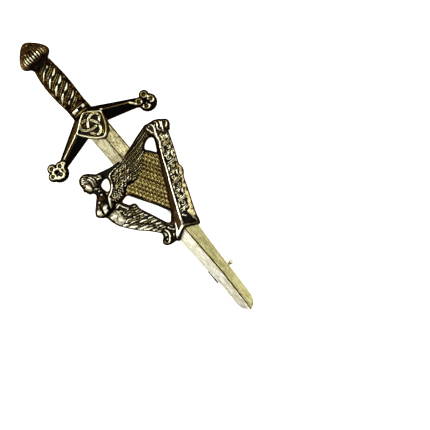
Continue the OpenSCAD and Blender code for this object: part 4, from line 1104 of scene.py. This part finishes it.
# Volute: the skirt's hem rolls into an S-scroll
harp.tint([(-6.6, -20.9), (-2.8, -21.4), (-2.2, -18.5), (-2.6, -16.3), (-5.2, -16.5)], 0.07)
HEM = [(-3.35, -16.8), (-3.1, -17.9), (-3.4, -18.9), (-4.1, -19.75), (-4.9, -20.2), (-5.5, -20.0)]
harp.ridge(flowing(HEM), [0.27, 0.33, 0.36, 0.3, 0.16], 3.2, foot=1.3, rub_and_sheen=0.4)
harp.ridge(flowing([(-4.6, -18.4), (-5.3, -18.6), (-5.65, -19.3), (-5.5, -19.9)]),
           [0.12, 0.2, 0.24, 0.16], 3.0, foot=1.3, rub_and_sheen=0.25)
harp.dome((-4.6, -19.2), 0.3, 2.9, foot=1.3, rub_and_sheen=0.15)
harp.ridge([(-4.2, -17.1), (-4.1, -17.95)], 0.2, 2.9, foot=1.4, rub_and_sheen=0.2)
harp.ridge(flowing([(-4.6, -16.9), (-4.65, -17.5), (-4.2, -18.3), (-3.7, -17.9)]),
           0.1, 2.7, foot=1.4, rub_and_sheen=-0.1)

# Maiden: bare to the waist, the wing on her back and a skirt of leaves below
harp.ridge([(-11.9, 4.9), (-11.4, 3.2), (-11.2, 1.4)], [1.0, 0.9, 1.3], [2.6, 2.7, 2.6], foot=1.0)
# Painted shade under the chin and over the shoulder
NECK_SHADE = [(-12.9, 4.5), (-10.0, 5.2), (-9.5, 2.4), (-10.1, 0.9), (-11.6, -0.1), (-13.4, 0.6), (-12.6, 2.6)]
harp.tint(NECK_SHADE, 0.07)
# Chest, shoulder and breasts, with dark hollows beside and under them
harp.dome((-13.2, -0.2), (3.4, 2.5), 2.5, turn=40, foot=0.9, rub_and_sheen=-0.4)
harp.dome((-11.5, 1.6), (1.3, 1.0), 3.1, turn=30, foot=1.8, rub_and_sheen=-0.45)
harp.dome((-12.8, 1.15), (0.4, 0.2), 3.0, turn=60, foot=2.4, rub_and_sheen=0.15)
harp.dome((-14.75, -1.15), (1.35, 0.95), 3.3, turn=48, foot=1.6, rub_and_sheen=0.3)
harp.dome((-12.35, -1.25), (1.35, 0.95), 3.8, turn=42, foot=1.8, rub_and_sheen=0.38)
harp.groove(flowing([(-11.0, -0.2), (-11.35, -1.2), (-11.9, -1.7), (-11.7, -2.4)]), 0.34, 1.3, rub_and_sheen=-0.5)
harp.groove(flowing([(-13.0, 0.7), (-13.6, -0.5), (-13.8, -1.8), (-13.75, -2.9)]), 0.32, 0.8, rub_and_sheen=-0.24)
harp.groove(flowing([(-14.7, -2.75), (-13.2, -2.85), (-11.6, -2.75), (-10.3, -2.3), (-9.4, -1.5)]),
            0.42, 1.3, rub_and_sheen=-0.5)
# The arm, held close to the side, and curls that fall down the neck
harp.ridge(flowing([(-9.65, 0.7), (-10.2, -0.4), (-10.8, -1.4), (-11.1, -2.0)]),
           [0.3, 0.42, 0.4, 0.22], 3.5, foot=1.8, rub_and_sheen=0.12)
CURLS = [((-10.85, 4.75), 0.36, 0.15), ((-10.2, 4.3), 0.3, 0.0), ((-10.65, 3.75), 0.36, 0.25),
         ((-10.1, 3.4), 0.25, -0.05), ((-10.8, 2.55), 0.34, 0.25)]
for spot, half, rub_and_sheen in CURLS:
    harp.dome(spot, (half, half * 0.8), 3.4, turn=60, foot=2.2, rub_and_sheen=rub_and_sheen)
# The waist, worn in clouds, with a dark edge behind it
harp.ridge(flowing([(-11.6, -4.7), (-11.6, -5.6), (-11.2, -7.4)]),
           [1.9, 1.8, 1.9], [BODY_H, 3.2, 3.1], foot=0.6)
harp.groove(flowing([(-14.4, -2.9), (-13.2, -3.0), (-11.6, -2.95), (-10.3, -2.6)]), 0.36, 0.5, rub_and_sheen=-0.9)
WAIST = [(-13.35, -3.7), (-11.2, -3.45), (-10.1, -3.9), (-10.2, -6.0), (-10.7, -7.2), (-12.3, -7.4),
         (-13.0, -5.8)]
harp.tint(WAIST, 0.65 + 0.4 * worn)
harp.tint([(-13.9, -3.2), (-13.4, -3.4), (-13.0, -5.8), (-12.3, -7.5), (-12.8, -7.8), (-13.6, -5.8)], 0.05)
harp.pit((-11.6, -5.6), (0.2, 0.34), 0.6, rub_and_sheen=-0.4)
harp.groove(flowing([(-10.9, -3.6), (-10.75, -4.6), (-10.95, -5.6)]), 0.12, 0.3, rub_and_sheen=-0.15)
# Leaves that hang from the wing and the waist
WAIST_LEAVES = [([(-9.9, -3.2), (-8.9, -2.9)], 0.28, 0.25),
                ([(-9.8, -4.4), (-9.4, -4.9)], 0.24, 0.0),
                ([(-8.75, -2.8), (-8.35, -4.1), (-7.5, -5.4)], [0.22, 0.3, 0.24], 0.12),
                ([(-9.6, -5.6), (-8.7, -5.3), (-7.7, -5.5)], 0.14, -0.05),
                ([(-6.6, -5.5), (-5.5, -5.7)], 0.18, -0.05)]
for line, width, rub_and_sheen in WAIST_LEAVES:
    harp.ridge(flowing(line, 4), width, 3.4, foot=1.6, rub_and_sheen=rub_and_sheen)

# Skirt: rows of short fine leaves in lacquer, then the broader ones that are rubbed bright
# A row: y, left edge, right edge
SKIRT = [(-17.2, -4.9, -1.7), (-14.0, -7.25, -2.35), (-12.0, -9.4, -3.15), (-9.4, -11.5, -4.25),
         (-7.2, -12.9, -4.95), (-5.0, -13.7, -5.2)]
SKIRT_H = 1.7
sy, sl, sr = np.array(SKIRT, float).T
left_of, right_of = np.interp(harp.y, sy, sl), np.interp(harp.y, sy, sr)
in_skirt = (harp.x > left_of) & (harp.x < right_of) & (harp.y < -5.6) & (harp.y > -16.6)
in_skirt &= (harp.y < -7.7) | (harp.x > -9.9)
harp.high = np.where(in_skirt, SKIRT_H, harp.high)
harp.tint(in_skirt, 0.08)
TOP_ROW, ROWS, ROW_STEP, SLANT = -5.9, 14, 0.72, 0.3  # SLANT is the fall of a row for its length
for row in range(ROWS):
    y = TOP_ROW - row * ROW_STEP
    x, end = np.interp(y, sy, sl) + 0.7, np.interp(y, sy, sr) - 0.3
    x = max(x, -9.9) if row < 3 else x
    while x < end - 0.3:
        long = chance.uniform(0.4, 1.1)
        drop = y - (x + 11) * SLANT + 0.8 + chance.uniform(-0.12, 0.12)
        harp.ridge([(x, drop), (x + long, drop - SLANT * long)], 0.14, 2.2, foot=1.6, only=in_skirt,
                   rub_and_sheen=chance.uniform(-0.45, 0.15))
        x += long + chance.uniform(0.2, 0.5)
MOAT = 0.25  # a dark hollow beside each rubbed leaf
# Those leaves: a row's line, half its width, its rub
LEAVES = [([(-11.9, -8.3), (-11.2, -8.45), (-10.4, -8.9)], 0.32, 0.3),
          ([(-10.6, -8.1), (-9.6, -7.75), (-8.7, -8.15)], 0.2, 0.25),
          ([(-11.0, -9.65), (-10.0, -10.2), (-8.8, -10.85)], 0.38, 0.4),
          ([(-9.3, -11.75), (-8.0, -12.35), (-6.4, -12.65)], 0.34, 0.4),
          ([(-7.8, -12.95), (-6.9, -13.55), (-5.7, -13.95)], 0.31, 0.4),
          ([(-6.8, -14.45), (-5.9, -14.85), (-5.1, -15.1)], 0.27, 0.35),
          ([(-5.7, -15.5), (-5.1, -15.85), (-4.5, -16.2)], 0.22, 0.3),
          ([(-7.4, -10.5), (-6.4, -10.8), (-5.4, -11.25)], 0.25, 0.2),
          ([(-10.0, -9.0), (-8.8, -9.2), (-7.6, -9.7)], 0.17, 0.05),
          ([(-6.4, -9.7), (-5.5, -10.1)], 0.14, -0.1), ([(-4.9, -11.15), (-3.7, -11.6)], 0.22, 0.05),
          ([(-4.8, -12.55), (-3.3, -13.0)], 0.23, 0.12), ([(-4.3, -13.85), (-2.9, -14.35)], 0.23, 0.12),
          ([(-3.9, -15.0), (-2.9, -15.45)], 0.2, 0.15), ([(-6.5, -7.4), (-5.35, -7.55)], 0.17, 0.0),
          ([(-5.1, -9.75), (-4.6, -10.3)], 0.24, -0.05), ([(-6.1, -5.85), (-5.35, -6.05)], 0.2, 0.0),
          ([(-8.9, -6.8), (-7.8, -7.05)], 0.2, 0.1), ([(-9.5, -6.0), (-8.9, -6.3)], 0.2, -0.05),
          ([(-7.9, -8.2), (-7.4, -8.5)], 0.22, 0.1), ([(-8.0, -11.5), (-7.0, -11.7)], 0.13, -0.15),
          ([(-6.2, -13.1), (-5.3, -13.3)], 0.13, -0.15)]
for line, width, rub_and_sheen in LEAVES:
    line = flowing(line, 4)
    harp.groove(line, width + MOAT, 0.4, rub_and_sheen=-0.5)
    harp.ridge(line, [width, width * 1.35, width * 1.15, width * 0.8], 2.5, foot=1.5, rub_and_sheen=rub_and_sheen + 0.18)

# Head: the face in profile, and hair in bands that run back to the wing
harp.dome((-11.3, 7.6), (2.45, 2.75), 3.4, foot=1.0, rub_and_sheen=-0.3)
harp.dome((-12.6, 6.4), (1.45, 2.2), 3.4, foot=1.2, rub_and_sheen=-0.1)
harp.dome((-12.3, 6.3), (0.62, 1.15), 3.75, turn=12, foot=2.6, rub_and_sheen=0.4)
harp.ridge([(-13.75, 7.2), (-14.05, 6.4)], [0.2, 0.3], [2.7, 3.0], foot=1.0, rub_and_sheen=-0.1)
harp.dome((-13.35, 6.25), (0.24, 0.3), 3.2, foot=2.4, rub_and_sheen=0.3)
harp.ridge([(-13.85, 7.6), (-12.9, 7.6)], [0.25, 0.3, 0.2], 3.45, foot=2.0, rub_and_sheen=0.2)
harp.groove([(-13.4, 7.1), (-12.8, 7.14)], [0.14, 0.2, 0.12], 0.55, rub_and_sheen=-0.5)
harp.ridge([(-13.7, 5.5), (-13.25, 5.42)], [0.14, 0.1], 3.0, foot=1.6)
harp.groove([(-13.6, 5.28), (-13.1, 5.25)], 0.08, 0.4, rub_and_sheen=-0.4)
harp.dome((-13.2, 4.9), (0.42, 0.36), 3.1, foot=1.6)
harp.groove(flowing([(-12.9, 4.75), (-12.0, 4.9), (-11.4, 5.7), (-11.35, 7.2)]),
            [0.2, 0.24, 0.22], 1.0, rub_and_sheen=-0.5)
# Bands of hair: a row's line and its rub
HAIR = [([(-13.6, 8.2), (-12.9, 8.25), (-12.3, 7.9)], 0.25),
        ([(-13.5, 8.7), (-12.7, 8.7), (-11.9, 8.1), (-11.6, 7.5)], 0.22),
        ([(-13.3, 9.2), (-12.4, 9.1), (-11.5, 8.6)], 0.1),
        ([(-12.9, 9.65), (-11.9, 9.45), (-11.1, 8.8)], -0.1),
        ([(-11.2, 8.4), (-10.65, 7.9), (-10.55, 6.8), (-10.95, 5.8)], 0.2),
        ([(-11.9, 9.9), (-10.8, 9.4), (-10.1, 8.7)], -0.2),
        ([(-10.5, 8.7), (-9.9, 7.9), (-9.8, 7.0), (-10.1, 6.2)], 0.05),
        ([(-10.0, 8.9), (-9.2, 8.0), (-8.9, 7.1), (-9.2, 6.2)], 0.08),
        ([(-9.3, 8.4), (-8.4, 7.6), (-7.8, 6.9), (-7.0, 6.4)], -0.05),
        ([(-9.0, 6.6), (-8.2, 6.5), (-7.4, 6.1)], 0.05)]
for lock, rub_and_sheen in HAIR:
    path = flowing(lock)
    harp.groove(path, 0.36, 0.35, rub_and_sheen=-0.5)
    harp.ridge(path, [0.14, 0.25, 0.26, 0.14], [HEAD_H - 0.4, HEAD_H, HEAD_H - 0.2, HEAD_H - 0.9], foot=2.4,
               twist=(1.1, 0.9, 0.2), rub_and_sheen=rub_and_sheen)

for opening in OPENINGS:
    harp.pierce(flowing(opening, 3, closed=True))
harp.roll_edge(lip=0.7, width=0.5)
# Painted shade: the wing is painted black behind its shoulder
shade = np.interp(harp.x, SHOULDER[:, 0], SHOULDER[:, 1]) + 0.3
harp.tint(on_wing & (harp.y > shade) & (harp.x < 0.8) & (harp.x > -7.6) & (harp.y > 5.5), 0.06)
harp.soften()
# How broad the dark line inside the outline is: thinner by the pillar's rim, the dots and the skirt
dark_rim = np.where((harp.x > co - 1.5) & (harp.y < 3.4) & (harp.y > -19), 0.4, 0.92)
dark_rim = np.where((harp.x < -4) & (harp.x > -10) & (harp.y < 3) & (harp.y > -2.6), 0.6, dark_rim)
dark_rim = np.where((harp.x < -1) & (harp.y < -6) & (harp.y > -16.4), 0.5, dark_rim)
harp_piece = harp.cast("harp", harp_plating, dark_edge=dark_rim, reach=0.42, gain=0.5, fine=0.45)
# The strings keep a warmer plating than the carving round them
faces = harp_piece.data.polygons
harp_piece.data.materials.append(string_plating)
centre, kind = np.empty(len(faces) * 3), np.empty(len(faces), np.int32)
faces.foreach_get("center", centre)
faces.foreach_get("material_index", kind)
cx, cy = centre.reshape(-1, 3)[:, :2].T / MM
on_strings = (inside_of(cx, cy, FIELD) > 0) & (inside_of(cx, cy, WING) < 0)
kind[on_strings & (cx < np.interp(cy, py, inner)) & (kind == 0)] = 2
faces.foreach_set("material_index", kind)
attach(harp_piece, "brooch")
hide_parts("casting")

# The hinge bracket

# The hinge bracket is a bought-in steel channel, staked to the flat back behind the guard. Its two
# cheeks hold the stem's eye. It is black plated, with gold showing where it is handled.


def handled(name, dark, bright, covered, roughness=0.34):
    """Thin dark plating over a bright metal, worn through in small clouds. covered is from 0 to 1."""
    made, tree, bsdf = finish(name, **{"Metallic": 1.0, "Specular Tint": (0.6, 0.55, 0.4, 1)})
    clouds = added(tree, grain_at(tree, 0.9), grain_at(tree, 0.25))
    wear = step_between(tree, clouds, 0.65 + 0.6 * covered, 1.05 + 0.6 * covered)
    tree.links.new(mixed(tree, wear, dark, bright), bsdf.inputs["Base Color"])
    tree.links.new(step_between(tree, clouds, 0.8, 1.2, roughness + 0.12, roughness),
                   bsdf.inputs["Roughness"])
    pebbled(tree, bsdf, 0.3, 0.008)
    return made


def dress(node_name, material):
    """Gives a part that is kept as it was constructed its material."""
    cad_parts[node_name].data.materials.clear()
    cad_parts[node_name].data.materials.append(material)


dress("hinge_bracket", handled("black_plated_channel", (0.012, 0.009, 0.005, 1), (0.45, 0.36, 0.14, 1), 0.72))

# The hinge rivet

# The rivet is a plain gilt pin through both cheeks and the stem's eye, with its ends peened
# over into low heads. It is rubbed brighter than the bracket.

dress("hinge_rivet", handled("rubbed_gilt_rivet", (0.05, 0.035, 0.012, 1), (0.62, 0.52, 0.24, 1), 0.45, 0.3))

# The stem

# The stem is hard drawn steel wire, ground to a long point, with its eye round the rivet. It is
# polished bright along its length, and darker where the eye was formed.

wire_steel, tree, bsdf = finish("bright_drawn_wire", Metallic=1.0)
lines = grain_at(tree, 0.12, (1, 14, 1))
ragged = added(tree, place_along(tree, "Y"), added(tree, grain_at(tree, 1.5), 3 * MM, "MULTIPLY"))
tarnish = step_between(tree, ragged, 15.5 * MM, 19.5 * MM)  # towards the eye
wire_tone = mixed(tree, step_between(tree, lines, 0.35, 0.65), (0.50, 0.47, 0.39, 1), (0.78, 0.75, 0.66, 1))
tree.links.new(mixed(tree, tarnish, wire_tone, (0.09, 0.06, 0.02, 1)), bsdf.inputs["Base Color"])
tree.links.new(step_between(tree, lines, 0.3, 0.7, 0.2, 0.32), bsdf.inputs["Roughness"])
bumped(tree, bsdf, lines, 0.006)
dress("pin_stem", wire_steel)

# The catch housing

# The housing is a turned and milled steel block, staked near the blade's point. Two rounded
# flanges hold the rotor between them. It is black plated like the bracket.

dress("catch_housing", handled("black_plated_block", (0.010, 0.008, 0.005, 1), (0.48, 0.38, 0.15, 1), 0.78))

# The catch rotor

# The rotor is turned from gilt steel: a knurled disc on a thick hollow journal, slotted so that
# the stem drops in, with a small two-lobed lever. Turned by the lever, it shuts the slot.

rotor_gold = plated("knurled_antique_gold", (0.06, 0.035, 0.01), (0.38, 0.30, 0.1), (0.9, 0.84, 0.55),
                    brown_from=0.18, brown_up_to=0.36, rubbed_from=0.66, patchy=0.3)
ROTOR_AT = (1.0, -36.0, 2.1)  # the middle of the disc
MOUTH = 1.45 / 2  # half the slot's width
TEETH, TOOTH_DEPTH = 36, 0.11
# A row: y from the middle, radius, and how deep the knurling is there
TURNED = [(-2.15, 1.2, 0), (-2.05, 1.3, 0), (-0.86, 1.3, 0), (-0.85, 1.6, 0.5), (-0.68, 1.75, 1),
          (0, 1.75, 1), (0.68, 1.75, 1), (0.85, 1.6, 0.5), (0.86, 1.3, 0), (2.05, 1.3, 0), (2.15, 1.2, 0)]
# A row: x from the axis, half width and half thickness of the lever
LEVER = [(1.15, 0.42, 0.46), (1.5, 0.42, 0.46), (2.2, 0.34, 0.38), (3.2, 0.34, 0.38), (3.6, 0.42, 0.5),
         (3.95, 0.4, 0.45)]
LOBE, LOBES_AT = 0.62, 3.98  # radius of the lever's two lobes, and where they are
LEVER_SIDES, LOBE_SIDES, LOBE_RINGS = 20, 24, 11


def slotted(radius, depth):
    """Outline of a disc with a slot open downwards, as (x, z) from the axis."""
    gap = math.asin(MOUTH / radius)
    turn = np.linspace(-np.pi / 2 + gap, 1.5 * np.pi - gap, 6 * TEETH + 1)
    r = radius - TOOTH_DEPTH * depth * (0.5 + 0.5 * np.cos(TEETH * turn)) ** 2
    r[[0, -1]] = radius
    rim = np.column_stack([r * np.cos(turn), r * np.sin(turn)])
    sweep = np.radians(np.linspace(180, 0, 25))
    slot = np.vstack([[rim[-1]], np.column_stack([MOUTH * np.cos(sweep), MOUTH * np.sin(sweep)]), [rim[0]]])
    share = np.linspace(0, 1, len(rim))
    run = np.r_[0, np.cumsum(np.hypot(*np.diff(slot, axis=0).T))]
    back = np.column_stack([np.interp(share * run[-1], run, slot[:, i]) for i in (0, 1)])
    return np.vstack([rim, back[1:-1]]), r


def lofted(rings, caps):
    """Faces that join rings of the same number of points; caps gives the faces of one ring."""
    count = len(rings[0])
    walls = [(i * count + j, i * count + (j + 1) % count, (i + 1) * count + (j + 1) % count,
              (i + 1) * count + j) for i in range(len(rings) - 1) for j in range(count)]
    last = (len(rings) - 1) * count
    return walls + [tuple(f[::-1]) for f in caps] + [tuple(last + k for k in f) for f in caps]


rings, crest = [], []
for y, radius, depth in TURNED:
    ring, r = slotted(radius, depth)
    rings.append(np.column_stack([ring[:, 0], np.full(len(ring), y), ring[:, 1]]))
    worn_here = np.full(len(ring), 0.32)
    worn_here[:len(r)] = 0.42 + 0.5 * depth * (r - radius + TOOTH_DEPTH * depth) / TOOTH_DEPTH
    crest.append(worn_here)
size, arc_count = len(rings[0]), 6 * TEETH + 1
quads = [(k, k + 1, size - 1 - k, size - k) for k in range(1, arc_count - 2)]
faces = lofted(rings, [(0, 1, size - 1), *quads, (arc_count - 2, arc_count - 1, arc_count)])
for x, half_y, half_z in LEVER:
    a = np.radians(range(0, 360, 360 // LEVER_SIDES))
    bulge = np.abs(np.cos(a)) ** 0.6 * np.sign(np.cos(a)), np.abs(np.sin(a)) ** 0.6 * np.sign(np.sin(a))
    rings.append(np.column_stack([np.full(LEVER_SIDES, x), half_y * bulge[0], half_z * bulge[1]]))
    crest.append(0.45 + 0.3 * np.abs(bulge[1]))
start = len(TURNED) * size
faces += [tuple(start + k for k in f) for f in lofted(rings[len(TURNED):], [tuple(range(LEVER_SIDES))])]
start += LEVER_SIDES * len(LEVER)
for side in (-1, 1):
    turn = np.radians(range(0, 360, 360 // LOBE_SIDES))
    for lift in np.radians(np.linspace(-75, 75, LOBE_RINGS)):
        rings.append(np.column_stack([LOBES_AT + LOBE * np.cos(lift) * np.cos(turn),
                                      LOBE * np.cos(lift) * np.sin(turn),
                                      side * LOBE * 0.6 + LOBE * np.full(LOBE_SIDES, np.sin(lift))]))
        crest.append(np.full(LOBE_SIDES, 0.55 + 0.2 * abs(math.sin(lift))))
    faces += [tuple(start + k for k in f) for f in lofted(rings[-LOBE_RINGS:], [tuple(range(LOBE_SIDES))])]
    start += LOBE_SIDES * LOBE_RINGS
points = (np.vstack(rings) + ROTOR_AT) * MM
rotor = solid_piece("rotor_knurled", points, faces, np.concatenate(crest), rotor_gold, crease=35)
tidy = bmesh.new()
tidy.from_mesh(rotor.data)
bmesh.ops.recalc_face_normals(tidy, faces=tidy.faces)
tidy.to_mesh(rotor.data)
tidy.free()
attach(rotor, "rotor")
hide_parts("catch_rotor")

# The studio

# A plain pale table, one broad soft light from the figure's side and weak ones for the other
# sides, and the camera straight above, turned so that the sword lies as in the photograph.

table_paint, tree, bsdf = finish("pale_table", Roughness=0.9)
tree.links.new(mixed(tree, grain_at(tree, 30), (0.93, 0.93, 0.93, 1), (0.95, 0.95, 0.95, 1)),
               bsdf.inputs["Base Color"])
bsdf.inputs["Emission Color"].default_value = (1, 1, 1, 1)  # a light table: it keeps the shadows faint
bsdf.inputs["Emission Strength"].default_value = 0.62
table_mesh = bpy.data.meshes.new("table")
table_mesh.from_pydata([(-2, -2, 0), (2, -2, 0), (2, 2, 0), (-2, 2, 0)], [], [(0, 1, 2, 3)])
table_mesh.materials.append(table_paint)
table = bpy.data.objects.new("table", table_mesh)
bpy.context.scene.collection.objects.link(table)

VIEW_AT = (0.0102, -0.02269)  # the point of the table under the camera
VIEW_TURN = -40.1
LENS, SENSOR = 135.0, 36.0
VIEW_WIDTH, VIEW_LEVEL = 0.1227, 0.0065  # the view is that wide at that level
eye = bpy.data.objects.new("camera", bpy.data.cameras.new("camera"))
eye.data.lens, eye.data.sensor_width = LENS, SENSOR
eye.location = (*VIEW_AT, VIEW_LEVEL + VIEW_WIDTH * LENS / SENSOR)
eye.rotation_euler = (0, 0, math.radians(VIEW_TURN))
eye.data.clip_start, eye.data.clip_end = 0.01, 20
bpy.context.scene.collection.objects.link(eye)
bpy.context.scene.camera = eye

RIGHT = np.array([0.765, -0.644, 0])  # the picture's right and up, in the object's own frame
UP = np.array([0.644, 0.765, 0])


def soft_light(name, right, up, high, size, power, tint=(1, 1, 1)):
    """A square soft light at a place given by the picture's right and up, aimed at the object."""
    lamp = bpy.data.objects.new(name, bpy.data.lights.new(name, "AREA"))
    lamp.data.shape, lamp.data.size = "SQUARE", size
    lamp.data.energy, lamp.data.color = power, tint
    place = RIGHT * right + UP * up + np.array([0, 0, high])
    lamp.location = place
    lamp.rotation_euler = Vector(-place).to_track_quat("-Z", "Y").to_euler()
    bpy.context.scene.collection.objects.link(lamp)


soft_light("key", -0.5, 0.12, 0.62, 0.5, 8)
soft_light("fill", 0.7, 0.2, 0.5, 0.5, 1.5)
soft_light("overhead", 0.0, 0.1, 1.1, 0.5, 4)
world = bpy.data.worlds.new("studio_air")
world.use_nodes = True
world.node_tree.nodes["Background"].inputs["Color"].default_value = (1, 1, 1, 1)
world.node_tree.nodes["Background"].inputs["Strength"].default_value = 0.45
bpy.context.scene.world = world
bpy.context.scene.view_settings.view_transform = "Standard"
